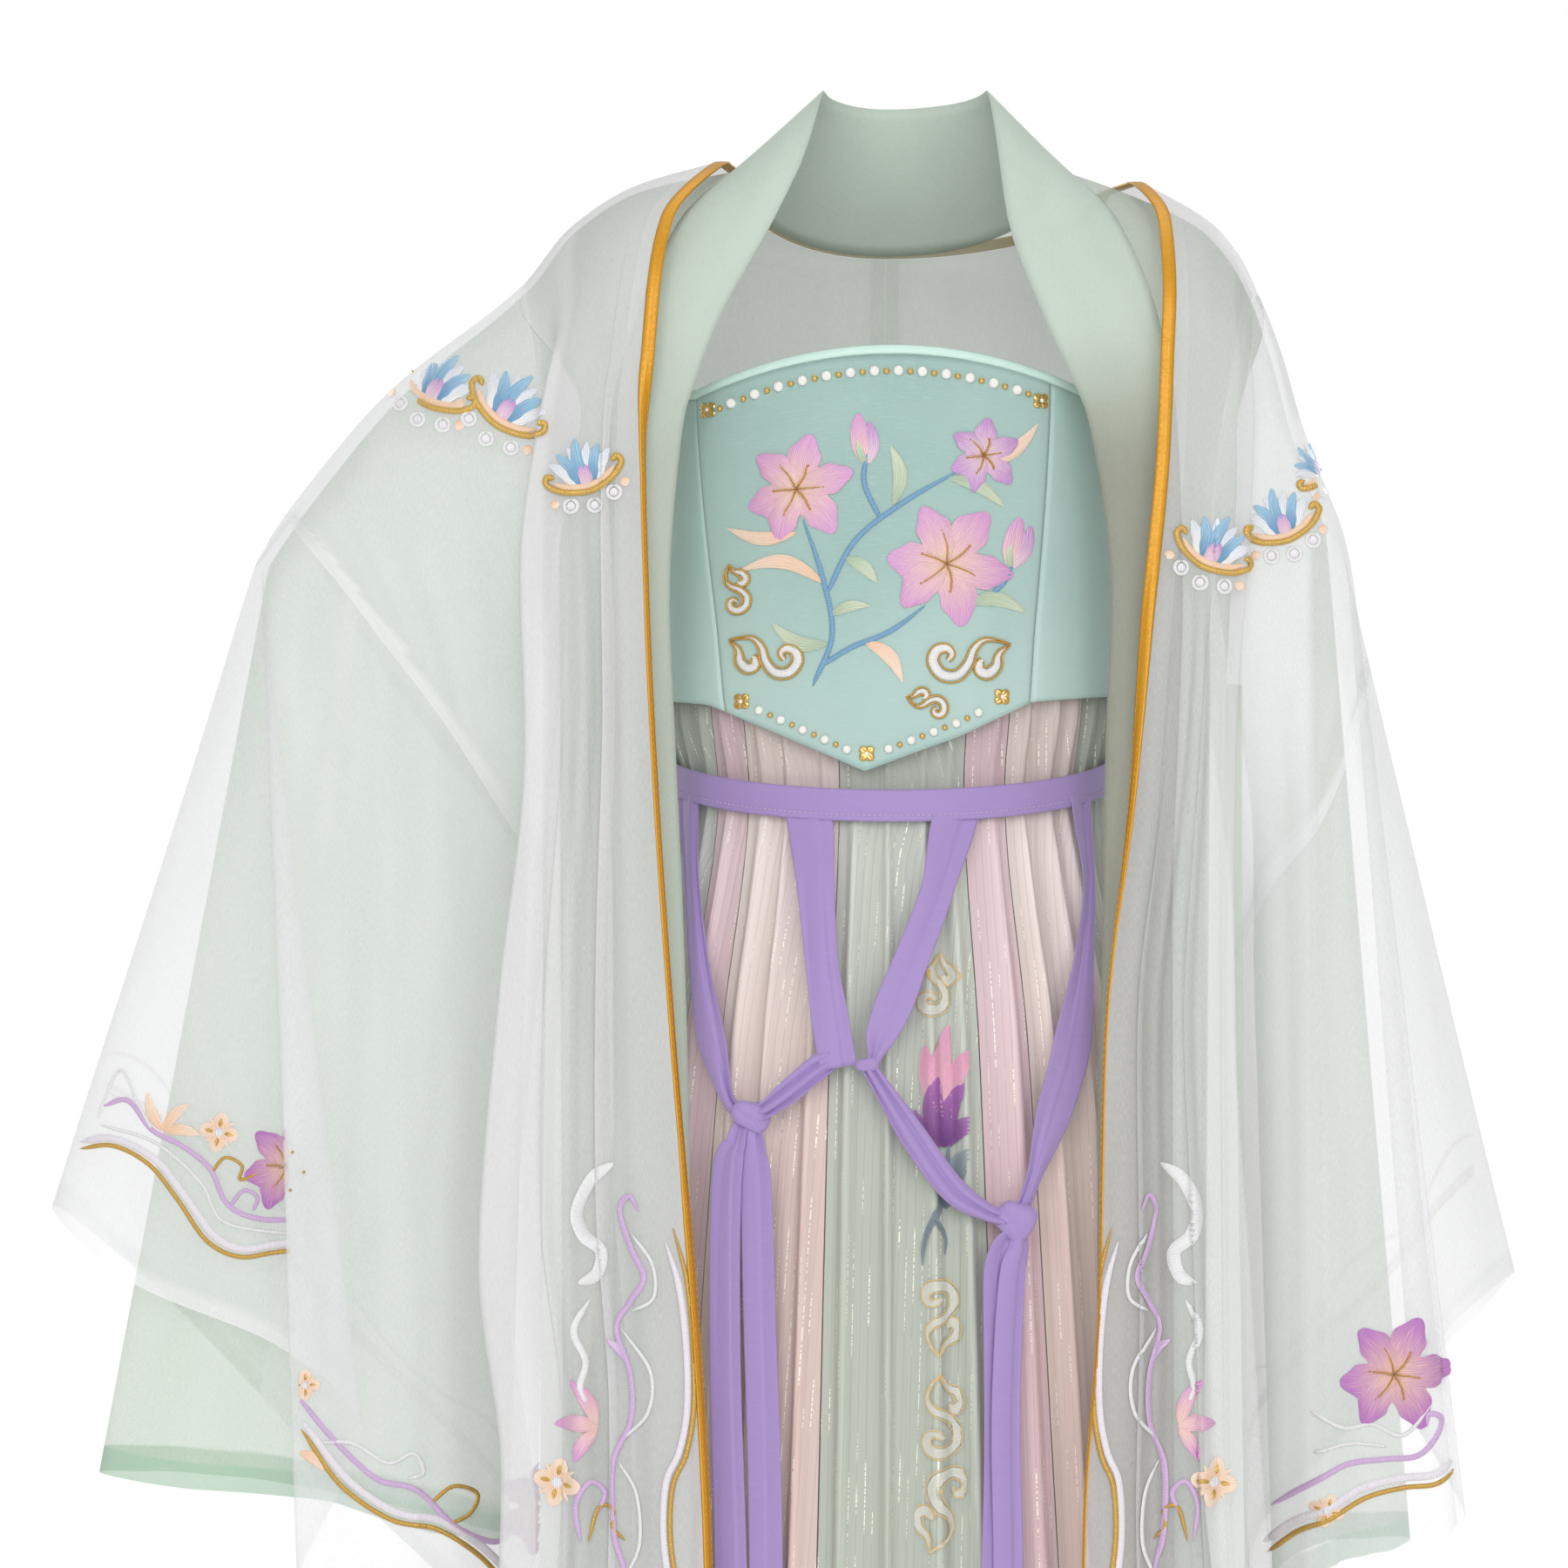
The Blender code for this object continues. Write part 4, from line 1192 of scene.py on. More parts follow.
WHITE = linear(240, 240, 242)
MINT = linear(198, 215, 196)
BAND_MINT = linear(168, 198, 174)
LAVENDER = linear(157, 133, 188)
FINISHES = {
    # Painted shade: the outer bodies' chiffon is a darker, denser copy of the sleeves' chiffon.
    "outer": Chiffon("outer_chiffon", linear(226, 225, 226), 0.46, 0.20, linear(232, 232, 232)),
    "outer_sleeve": Chiffon("outer_sleeve_chiffon", WHITE, 0.34, 0.20, WHITE),
    # Painted shade: the mint bodies' chiffon is a darker, denser copy of the mint sleeves' chiffon.
    "inner": Chiffon("mint_chiffon", linear(190, 202, 188), 0.55, 0.30, BAND_MINT),
    "inner_sleeve": Chiffon("mint_sleeve_chiffon", MINT, 0.38, 0.35, BAND_MINT),
    # Painted shade: the band's second colour is a darker grey, and its negative step thins the band where it
    # hangs low over the bodice and skirt.
    "band": Chiffon("mint_band", linear(200, 213, 201), 0.84, -0.14, linear(158, 160, 146)),
    "gold": Satin("gold_satin", linear(204, 144, 16), linear(226, 174, 48), 0.32, 0.15, 0.0, 0.25),
    "gold_thread": Gloss("gold_thread", linear(226, 172, 60), 0.4, 0.2, 0.0),
    "thread": Gloss("light_thread", linear(214, 200, 228), 0.6, 0.0, 0.0),
    "satin": Satin("turquoise_satin", linear(136, 169, 162), linear(192, 214, 208), 0.50, 0.40),
    "binding": Satin("light_binding", linear(196, 224, 214), linear(208, 232, 224), 0.42, 0.2),
    "lavender": Satin("lavender_crepe", LAVENDER, linear(170, 148, 198), 0.62, 0.12, 0.25),
    "sage": Lurex("skirt_sage", linear(206, 214, 202), linear(222, 224, 216), linear(190, 196, 184)),
    "pink": Lurex("skirt_pink", linear(238, 208, 214), linear(242, 224, 226), linear(224, 190, 196)),
    "peach": Lurex("skirt_peach", linear(246, 228, 222), linear(250, 243, 241), linear(220, 190, 180)),
    "ink_violet": Ink("ink_violet", linear(112, 62, 130), linear(166, 106, 176), 0.80),
    "ink_pink": Ink("ink_pink", linear(238, 200, 204), linear(236, 160, 196), 0.70),
    "ink_slate": Ink("ink_slate", linear(92, 108, 128), linear(150, 164, 172), 0.72),
    "ink_cloud": Ink("ink_cloud", linear(238, 236, 226), linear(232, 226, 214), 0.55),
    "ink_gold": Ink("ink_gold", linear(206, 174, 110), linear(220, 192, 130), 0.80),
    # Painted light: pale, thin ink for the embroidery on the back of the sleeves, standing for light through
    # the sleeve's front.
    "faint_gold": Ink("faint_gold", linear(232, 214, 160), linear(238, 224, 180), 0.35),
    "faint_vine": Ink("faint_vine", linear(226, 212, 232), linear(236, 226, 240), 0.30),
    "cord": Stitch("gold_cord", linear(188, 142, 52), linear(232, 196, 112), 0.45, 0.34),
    "white_silk": Stitch("white_silk", linear(238, 236, 232), linear(220, 224, 232)),
    "pearl_silk": Stitch("pearl_silk", linear(226, 220, 228), linear(240, 236, 240)),
    "vine_silk": Stitch("vine_silk", linear(198, 162, 208), linear(224, 198, 230)),
    "lilac_silk": Stitch("lilac_silk", linear(236, 208, 214), linear(196, 150, 204)),
    "pink_silk": Stitch("pink_silk", linear(240, 206, 184), linear(216, 160, 206)),
    "orchid_silk": Stitch("orchid_silk", linear(240, 200, 176), linear(184, 118, 190)),
    "peach_silk": Stitch("peach_silk", linear(238, 196, 160), linear(244, 220, 200)),
    "sage_silk": Stitch("sage_silk", linear(164, 186, 160), linear(206, 216, 190)),
    "blue_silk": Stitch("blue_silk", linear(84, 138, 180), linear(158, 196, 220)),
    "pearl": Gloss("pearl", linear(240, 238, 232), 0.22),
    "bead": Gloss("gold_bead", linear(226, 186, 110), 0.25, 0.85, 0.2),
}


class Palette:
    """Makes each finish once, when it is first asked for."""

    def __init__(self) -> None:
        """Starts with no material built."""
        self.made: dict[str, bpy.types.Material] = {}

    def __getitem__(self, key: str) -> bpy.types.Material:
        """The material of a name, built when it is first asked for."""
        if key not in self.made:
            self.made[key] = FINISHES[key].make()
        return self.made[key]


# ---------------- embroidery
class Ground:
    """What embroidery is laid on: the first cloth met at each (x, z) from the front or behind."""

    def __init__(self, cloths: list[Surface], behind: bool = False) -> None:
        """Makes one tree of the cloths, to cast rays at."""
        whole = Surface.joined(cloths)
        self.tree = BVHTree.FromPolygons(whole.points.tolist(), whole.quads.tolist())
        self.facing = 1.0 if behind else -1.0

    def under(self, x: Array, z: Array) -> tuple[Array, Array]:
        """Points of the cloth at (x, z) and its normals, which are not numbers off its edge.

        Args:
            x, z: the places.

        Returns:
            The points and the normals.
        """
        start, ahead = 2.0 * self.facing, Vector((0.0, -self.facing, 0.0))
        spots = zip(x.ravel().tolist(), z.ravel().tolist())
        hits = [self.tree.ray_cast(Vector((a, start, b)), ahead) for a, b in spots]
        nothing = (math.nan, math.nan, math.nan)
        points = np.array([nothing if hit[0] is None else hit[0][:] for hit in hits])
        normals = np.array([nothing if hit[0] is None else hit[1][:] for hit in hits])
        normals = normals * np.sign(normals[:, 1:2] * self.facing + 1e-9)
        return points.reshape(*x.shape, 3), normals.reshape(*x.shape, 3)


@dataclass
class Embroidery:
    """Silk shapes laid on a cloth, kept by finish until they are built."""

    ground: Ground
    palette: Palette
    name: str
    slot: str
    deepest: float = 0.004
    span: Spot = (-1.0, 1.0)
    lift: float = 0.0002
    flat: bool = False
    parts: dict[str, list[Surface]] = field(default_factory=dict)

    def lay(self, silk: str, x: Array, z: Array, raised: Array, shade: Array, uv: Array) -> None:
        """Lays one shape on the ground.

        Args:
            silk: its finish.
            x: across, for each point of its grid.
            z: height, for each point.
            raised: how far it stands off the cloth.
            shade: from its first colour (0) to its second (1).
            uv: lengths along and across, in metres, the second across the threads.
        """
        points, normals = self.ground.under(x, z)
        outside = (x < self.span[0]) | (x > self.span[1])
        points[outside] = math.nan
        laid = sum(len(parts) for parts in self.parts.values())
        raised = self.lift + (0.00003 * laid if self.flat else raised)
        made = Surface.of_grid(points + normals * (raised + 0.0 * x)[..., None], shade)
        made.uv = uv.reshape(-1, 2)
        if self.ground.facing > 0:
            made.quads = made.quads[:, ::-1]
        self.parts.setdefault(silk, []).append(made.trimmed(self.deepest))

    def band(self, silk: str, path: tuple, width: float, ends: Spot = (0.2, 0.2),
             raised: float = 0.0011, shade: float = 0.3) -> None:
        """Satin stitch along a smooth path: a rounded band that narrows towards its ends.

        Its half width is the root of the share of the way from each end, up to the given shares.

        Args:
            silk: name of the thread.
            path: points that the band follows.
            width: full width.
            ends: shares of the length that narrow, first and last.
            raised: height over the cloth.
            shade: from the thread's colour (0) to its tip's (1).
        """
        spots = np.array(path)
        length = float(np.linalg.norm(np.diff(spots, axis=0), axis=1).sum())
        at = dense(0, 1, max(9, int(length / 0.0018)))
        line = spline(spots, at)
        heading = unit(np.gradient(line, axis=0))
        first, last = (max(end, 1e-3) for end in ends)
        narrow = np.sqrt(np.clip(at / first, 0.02, 1)) * np.sqrt(np.clip((1 - at) / last, 0.02, 1))
        share = dense(-1, 1, 7)[None, :]
        reach = share * narrow[:, None] * width / 2
        x = line[:, :1] - heading[:, 1:] * reach
        z = line[:, 1:] + heading[:, :1] * reach
        crown = raised * (0.15 + 0.85 * np.sqrt(1 - 0.98 * share**2)) * narrow[:, None] ** 0.5
        run = np.broadcast_to(arc(line, 0)[:, None], x.shape)
        self.lay(silk, x, z, crown, np.full(x.shape, shade), np.stack([reach, run], axis=-1))

    def petal(self, silk: str, base: Spot, tip: Spot, width: float,
              bend: float = 0.0, blunt: float = 0.55, raised: float = 0.0010,
              ripple: float = 0.0) -> None:
        """A petal or leaf with threads along it.

        Its half width is a power of a sine of the way along, and its middle line bows sideways
        by a sine of the same.

        Args:
            silk: name of the thread.
            base, tip: its two ends.
            width: full width.
            bend: sideways bow, as a share of its length.
            blunt: power of the sine, low for a round end.
            raised: height over the cloth.
            ripple: depth of the threads' waves.
        """
        start, end = np.array(base), np.array(tip)
        along = end - start
        length = float(np.linalg.norm(along))
        side = np.array([-along[1], along[0]]) / length
        t = dense(0.015, 0.985, 19)[:, None]
        share = dense(-1, 1, 11)[None, :]
        frill = 1 + ripple * np.sin(17.0 * t + 3.0 * np.sign(share)) * np.abs(share)
        half = width / 2 * np.sin(math.pi * t**0.85) ** blunt * frill
        reach = half * share
        middle = start + along * t + side * bend * length * np.sin(math.pi * t)
        x = middle[:, :1] + side[0] * reach
        z = middle[:, 1:] + side[1] * reach
        vein = 0.3 * np.exp(-((share / 0.18) ** 2))
        crown = raised * (0.12 + 0.88 * np.sqrt(1 - 0.98 * share**2) - vein) * np.sin(math.pi * t) ** 0.4
        # Root to tip the colour runs as the silk's own; the rise towards the sides is painted shade where
        # petals meet, and partly the petals' outlines.
        shade = np.clip(t * 1.15 - 0.05 + 0.12 * np.abs(share), 0, 1) * np.ones_like(share)
        run = np.broadcast_to(t * length, x.shape)
        self.lay(silk, x, z, crown, shade, np.stack([run, reach], axis=-1))

    def blossom(self, silk: str, middle: Spot, radius: float, turn: float) -> None:
        """A flower of two rounds of three petals, the second over the first, with gold stamens.

        Args:
            silk: name of the thread.
            middle: its place.
            radius: to the petals' tips.
            turn: angle of the first petal.
        """
        for k in range(6):
            upper = k >= 3
            angle = turn + 2 * math.pi * (k + 0.5 * upper) / 3 + 0.10 * math.sin(2.0 * k)
            size = radius * (1.0 + 0.08 * math.sin(2.3 * k + turn))
            width, raised = (0.56, 0.0026) if upper else (0.56 * 1.1, 0.0016)
            self.petal(silk, middle, beside(middle, size, angle), radius * width,
                       0.06 * math.sin(k + turn), 0.62, raised, 0.08)
        for k in range(6):
            angle = turn + math.pi * (k + 0.2) / 3
            far = 0.46 + 0.10 * math.sin(3.0 * k)
            end = beside(middle, far * radius, angle)
            half_way = ((middle[0] + end[0]) / 2 + 0.04 * radius, (middle[1] + end[1]) / 2)
            self.band("cord", (middle, half_way, end), 0.0012, (0.0, 0.1), 0.0034)
            self.dots("bead", np.array([end]), 0.0011, 2.4)

    def floret(self, middle: Spot, radius: float, turn: float = 0.0) -> None:
        """Four round petals of peach silk with a gold stitch on each and a white heart.

        Args:
            middle: its place.
            radius: to the petals' tips.
            turn: angle of the first petal.
        """
        for k in range(4):
            angle = turn + math.pi / 2 * k
            self.petal("peach_silk", middle, beside(middle, radius, angle), radius * 0.78, 0.0, 0.45, 0.0009)
            near, far = beside(middle, 0.28 * radius, angle), beside(middle, 0.72 * radius, angle)
            self.petal("cord", near, far, radius * 0.22, 0.0, 0.7, 0.0018)
            point = beside(middle, 0.9 * radius, angle + math.pi / 4)
            self.petal("peach_silk", middle, point, radius * 0.24, 0.0, 0.7, 0.0007)
        self.disc("white_silk", middle, 0.24 * radius, 0.0019)

    def disc(self, silk: str, middle: Spot, radius: float, raised: float) -> None:
        """A round spot of silk."""
        ends = ((middle[0], middle[1] - radius), (middle[0], middle[1] + radius))
        self.petal(silk, *ends, 2 * radius, 0.0, 0.5, raised)

    def ring(self, silk: str, middle: Spot, radius: float, width: float) -> None:
        """A ring of silk with a paler spot in it.

        Args:
            silk: name of the thread.
            middle: its place.
            radius: of the ring.
            width: of the silk.
        """
        angle = dense(0, 2 * math.pi, 17)
        path = np.stack([middle[0] + radius * np.sin(angle), middle[1] + radius * np.cos(angle)], axis=1)
        self.band(silk, path, width, (0.0, 0.0), 0.0010)
        self.disc("pearl_silk", middle, 0.62 * radius, 0.0007)

    def cloud(self, middle: Spot, size: float, turn: float, flip: int = 1,
              width: float = 0.0080, silk: str = "white_silk", cord: str = "cord",
              thin: float = 0.0014) -> None:
        """A cloud: a large and a small scroll that meet at their tips, both edged in gold.

        Args:
            middle: its place.
            size: of the large scroll.
            turn: angle of the whole.
            flip: -1 for the mirrored cloud.
            width: of the silk.
            silk, cord: names of the threads.
            thin: width of the cord.
        """
        sin, cos = math.sin(turn), math.cos(turn)
        scrolls = (
            ((0.00, 0.02), (0.09, 0.09), (0.05, 0.20), (-0.10, 0.22), (-0.21, 0.08), (-0.15, -0.14),
             (0.06, -0.23), (0.28, -0.12), (0.44, 0.06), (0.66, 0.12), (0.98, -0.06)),
            ((0.50, -0.14), (0.44, -0.17), (0.40, -0.27), (0.50, -0.36), (0.66, -0.30), (0.76, -0.14),
             (0.98, -0.06)),
        )
        for scroll in scrolls:
            place = (np.array(scroll) - (0.38, -0.06)) * (1, flip)
            line = spline(place @ np.array([[cos, sin], [-sin, cos]]) * size + middle, dense(0, 1, 33))
            t = dense(0, 1, 33)[:, None]
            along = unit(np.gradient(line, axis=0))
            across = np.stack([-along[:, 1], along[:, 0]], axis=1)
            wide = width * (0.30 * (1 - t) + 0.06 + 0.80 * np.sin(math.pi * t**1.1) ** 1.2)
            self.band(silk, line, width * 0.80, (0.15, 0.75), 0.0009, 0.4)
            for edge in (-1, 1):
                self.band(cord, line + edge * across * wide * 0.5, thin, (0.0, 0.0), 0.0018)

    def crest(self, middle: Spot, size: float, turn: float) -> None:
        """A shoulder crest: a fan of blue and white leaves in a bowl of gold, pearls under it.

        Args:
            middle: its place.
            size: of the fan.
            turn: angle of the whole.
        """
        sin, cos = math.sin(turn), math.cos(turn)

        def at(u: float, v: float) -> Spot:
            """The spot at (u, v) of the crest."""
            return (middle[0] + size * (u * cos - v * sin), middle[1] + size * (u * sin + v * cos))

        leaves = (
            ("white_silk", -0.88, 0.50), ("blue_silk", -0.60, 0.74), ("white_silk", -0.26, 0.86),
            ("blue_silk", 0.04, 1.06), ("white_silk", 0.34, 0.84), ("blue_silk", 0.62, 0.70),
            ("white_silk", 0.90, 0.46),
        )
        for k, (silk, u, v) in enumerate(leaves):
            self.petal(silk, at(0.35 * u, -0.36), at(u, v * 0.9), 0.36 * size, 0.08 * np.sign(u), 0.6,
                       0.0010 + 0.0006 * (k % 2), 0.06)
        self.petal("lilac_silk", at(0, -0.42), at(0, 0.22), 0.44 * size, 0.0, 0.5, 0.0020)
        bowl = (at(-0.84, 0.02), at(-1.04, 0.12), at(-1.10, -0.10), at(-0.72, -0.42), at(0, -0.60),
                at(0.72, -0.42), at(1.10, -0.10), at(1.04, 0.12), at(0.84, 0.02))
        inner = tuple(at(u, v) for u, v in ((-0.92, -0.10), (-0.55, -0.34), (0, -0.45),
                                            (0.55, -0.34), (0.92, -0.10)))
        self.band("peach_silk", inner, 0.0042, (0.2, 0.2), 0.0012)
        self.band("cord", bowl, 0.0040, (0.05, 0.05), 0.0022, 0.5)
        for u, v in ((-0.62, -0.86), (0.02, -1.02), (0.66, -0.84)):
            self.ring("white_silk", at(u, v), 0.0042, 0.0022)
        self.petal("peach_silk", at(1.04, -0.52), at(1.04, -0.80), 0.0062, 0.0, 0.7)
        self.petal("peach_silk", at(-1.04, -0.56), at(-1.04, -0.82), 0.0062, 0.0, 0.7)

    def dots(self, finish: str, places: Array, radius: float, flat: float = 0.75) -> None:
        """Beads: spheres a little flattened, half sunk in the cloth.

        Args:
            finish: of the beads.
            places: (x, z) of each.
            radius: of each.
            flat: how far each stands off, as a share of its radius.
        """
        points, normals = self.ground.under(places[:, :1], places[:, 1:])
        up = dense(-1.5, 1.5, 8)[:, None]
        turn = dense(0, 2 * math.pi, 11)[None, :-1]
        ball = np.stack([np.cos(up) * np.sin(turn), -np.sin(up) * np.ones_like(turn) * flat,
                         np.cos(up) * np.cos(turn)], axis=-1) * radius
        for point, normal in zip(points[:, 0], normals[:, 0]):
            if np.isfinite(point).all():
                made = Surface.of_grid(point + normal * radius * 0.4 + ball, closed=True)
                self.parts.setdefault(finish, []).append(made)

    def build(self) -> None:
        """Builds one piece of each finish."""
        for finish, surfaces in self.parts.items():
            whole = Surface.joined([surface for surface in surfaces if len(surface.quads)])
            made = whole.build(f"{self.name}_{finish}", self.palette[finish], self.slot)
            LOG.info("%s: %d faces", made.name, len(whole.quads))


# Vines are (silk, width in millimetres, path), leaves (silk, width in millimetres, base and tip).
# Paths on the fronts are (outwards, z), and all others (x, z).
FRONT_VINES = (
    ("cord", 3.2, mm(136.5, -660, 128, -692, 124, -732, 123.5, -770, 128, -797, 136, -816, 137.5, -846,
        133, -876, 126, -902, 123, -922)),
    ("pearl_silk", 4, mm(141, -668, 132.5, -696, 128, -734, 127.5, -770, 132, -795, 140, -814, 141.5, -846,
        137, -878, 130, -904)),
    ("white_silk", 7.8, mm(173, -621, 187, -631, 196, -650, 192, -665, 181, -675, 184, -689, 195, -694)),
    ("white_silk", 4, mm(188, -704, 197, -722, 190, -741, 193, -757, 187, -772)),
    ("vine_silk", 3.6, mm(157, -650, 163, -641, 169, -650, 162, -672, 154, -690, 162, -705, 171, -722,
        162, -750, 162, -778, 173, -804, 172, -846, 166, -868, 171, -890)),
    ("white_silk", 2.2, mm(161, -664, 149, -682, 148, -702, 161, -711)),
    ("white_silk", 2.2, mm(168, -722, 150, -746, 151, -772, 168, -790)),
    ("white_silk", 2.2, mm(170, -802, 158, -822, 156, -852, 166, -874)),
    ("vine_silk", 3, mm(192, -850, 195, -828, 187, -814, 178, -821, 183, -834)),
    ("cord", 2.4, mm(188, -850, 182, -830, 173, -831, 173, -842, 165, -850)),
)
FRONT_LEAVES = (
    ("pink_silk", 9, mm(183, -780, 199, -752)),
    ("pink_silk", 10, mm(182, -781, 209, -780)),
    ("pink_silk", 8.5, mm(183, -782, 196, -802)),
    ("vine_silk", 5, mm(165, -742, 178, -728)),
)
CUFF_VINES = {
    (Side.RIGHT, (-0.56, -0.3805)): (
        ("cord", 3, mm(-521, -622, -498, -619, -474, -630, -455, -652, -436, -678, -415, -688, -392, -685,
            -368, -682)),
        ("pearl_silk", 4.8, mm(-521, -617.5, -498, -614.5, -471, -626, -451, -649, -432, -674, -414, -683,
            -392, -680, -368, -677)),
        ("vine_silk", 3.4, mm(-505, -594, -488, -590, -472, -608, -452, -618, -434, -632, -422, -655,
            -400, -664, -368, -663)),
        ("vine_silk", 2.6, mm(-421, -656, -412, -646, -403, -650, -406, -659)),
        ("white_silk", 1.8, mm(-509, -602, -494, -571, -480, -594, -470, -611)),
        ("white_silk", 2.2, mm(-507, -606, -470, -616, -440, -641, -426, -665, -394, -672, -368, -672)),
        ("cord", 2.2, mm(-433, -635, -424, -625, -413, -630, -414, -639, -397, -632)),
    ),
    (Side.RIGHT, (-0.3725, -0.2)): (
        ("cord", 3.2, mm(-371, -792, -346, -826, -315, -847, -286, -854, -262, -872, -238, -902)),
        ("pearl_silk", 4.8, mm(-371, -786, -343, -821, -313, -842, -284, -849, -259, -868, -235, -897)),
        ("vine_silk", 3.6, mm(-373, -772, -350, -798, -323, -822, -298, -829, -274, -854, -250, -866,
            -242, -852)),
        ("white_silk", 2.6, mm(-358, -800, -338, -800, -316, -812, -300, -806, -294, -818, -304, -822)),
        ("cord", 2.6, mm(-290, -838, -276, -828, -262, -834, -266, -846, -280, -852)),
    ),
    (Side.LEFT, (0.2, 0.45)): (
        ("cord", 3.2, mm(238, -872, 256, -856, 274, -847, 296, -834, 320, -828, 340, -826, 354, -818)),
        ("pearl_silk", 5, mm(236, -866, 254, -850, 272, -841, 294, -828, 319, -822, 339, -820, 352, -812)),
        ("vine_silk", 3.6, mm(240, -842, 262, -826, 284, -813, 308, -810, 329, -808, 341, -796, 344, -785,
            336, -782, 335, -790)),
        ("white_silk", 2.6, mm(262, -780, 282, -790, 300, -788, 320, -795, 338, -776)),
        ("white_silk", 2.2, mm(264, -806, 286, -800, 310, -802)),
    ),
}
CRESTS = {
    Side.RIGHT: (
        ((-0.286, -0.136), 0.025, -0.50), ((-0.240, -0.150), 0.025, -0.62), ((-0.193, -0.192), 0.022, 0.30),
    ),
    Side.LEFT: (
        ((0.200, -0.240), 0.023, -0.42), ((0.243, -0.222), 0.022, 0.35), ((0.266, -0.186), 0.017, 0.95),
    ),
}


@dataclass
class RobeStitching:
    """The outer robe's embroidery: vines along the fronts and sleeve mouths, shoulder crests."""

    palette: Palette
    bodies: dict[Side, Surface]
    sleeves: dict[Side, Surface]
    hem: float
    repeat: Spot = (-0.012, -0.262)
    repeats: int = 3
    squeeze: float = 0.88

    def start(self, cloths: list[Surface], name: str, *settings, **others) -> Embroidery:
        """Embroidery in the outer robe's slot."""
        return Embroidery(Ground(cloths), self.palette, name, "outer_chiffon", *settings, **others)

    def front(self, side: Side) -> None:
        """The vines beside a front edge, repeated down to the hem.

        Args:
            side: the wearer's side.
        """
        work = self.start([self.bodies[side]], f"front_embroidery_{side.word}", 0.006, lift=0.0007)

        def at(spot: Spot, k: int) -> Spot:
            """A spot of a vine in repeat k, fitted to the side."""
            out = spot[0] if side is Side.RIGHT else 0.133 + (spot[0] - 0.136) * self.squeeze
            return (side.value * (out + k * self.repeat[0]), spot[1] + k * self.repeat[1])

        for k in range(self.repeats):
            for silk, width, path in FRONT_VINES:
                vine = tuple(at(spot, k) for spot in path)
                if min(z for _, z in vine) > self.hem + 0.016:
                    work.band(silk, vine, width / 1000, (0.12, 0.12), 0.0014)
            if at((0, -0.83), k)[1] > self.hem + 0.016:
                for silk, width, (base, tip) in FRONT_LEAVES:
                    work.petal(silk, at(base, k), at(tip, k), width / 1000, 0.08 * side.value, 0.7, 0.0015)
                work.floret(at((0.207, -0.815), k), 0.0150, 0.2)
        work.build()

    def shoulder(self, side: Side) -> None:
        """Crests from the front over the upper arm.

        Args:
            side: the wearer's side.
        """
        work = self.start([self.bodies[side], self.sleeves[side]], f"shoulder_embroidery_{side.word}",
                          lift=0.0006)
        for middle, size, turn in CRESTS[side]:
            work.crest(middle, size, turn)
        work.build()

    def cuff(self, side: Side) -> None:
        """Vines, lilies and a gold line round the front of a sleeve's mouth.

        Args:
            side: the wearer's side.
        """
        cloth = [self.sleeves[side]]
        for number, ((owner, span), bands) in enumerate(CUFF_VINES.items()):
            if owner is not side:
                continue
            work = self.start(cloth, f"cuff_embroidery_{side.word}_{number}", 0.006, span, 0.0006)
            for silk, width, path in bands:
                work.band(silk, path, width / 1000, (0.06, 0.10), 0.0014)
            if number == 0:
                for tip in mm(-475, -584, -447, -591, -440, -611):
                    work.petal("peach_silk", (-0.464, -0.609), tip, 0.0075, 0.1, 0.7, 0.0014)
                work.floret((-0.428, -0.609), 0.0130, 0.2)
                work.blossom("orchid_silk", (-0.384, -0.630), 0.031, 0.35)
            elif number == 1:
                work.floret((-0.3685, -0.764), 0.0100, 0.0)
                work.petal("peach_silk", (-0.372, -0.806), (-0.356, -0.818), 0.0075, 0.1, 0.7, 0.0014)
                work.blossom("orchid_silk", (-0.222, -0.846), 0.032, 0.1)
            else:
                work.blossom("orchid_silk", (0.314, -0.757), 0.038, 0.45)
                work.floret((0.272, -0.842), 0.0110, 0.3)
            work.build()

    def cuff_behind(self, side: Side, mouth: Array) -> None:
        """A gold line and vines on the back of the sleeve, in pale, thin ink that is painted light.

        Args:
            side: which sleeve.
            mouth: (x, z) of the line above the mouth, from the tip to the back seam.
        """
        work = Embroidery(Ground([self.sleeves[side]], True), self.palette,
                          f"cuff_back_embroidery_{side.word}", "outer_chiffon", 0.006)
        at = dense(0, 1, len(mouth))[:, None]
        rise = np.array([0.0, 1.0])
        wave = 0.024 + 0.009 * np.sin(5 * math.pi * at)
        work.band("faint_gold", mouth, 0.0020, (0.02, 0.02), 0.0010)
        work.band("faint_vine", mouth + rise * 0.005, 0.0034, (0.02, 0.02), 0.0010)
        work.band("faint_vine", mouth + rise * wave, 0.0024, (0.05, 0.1), 0.0010)
        work.build()


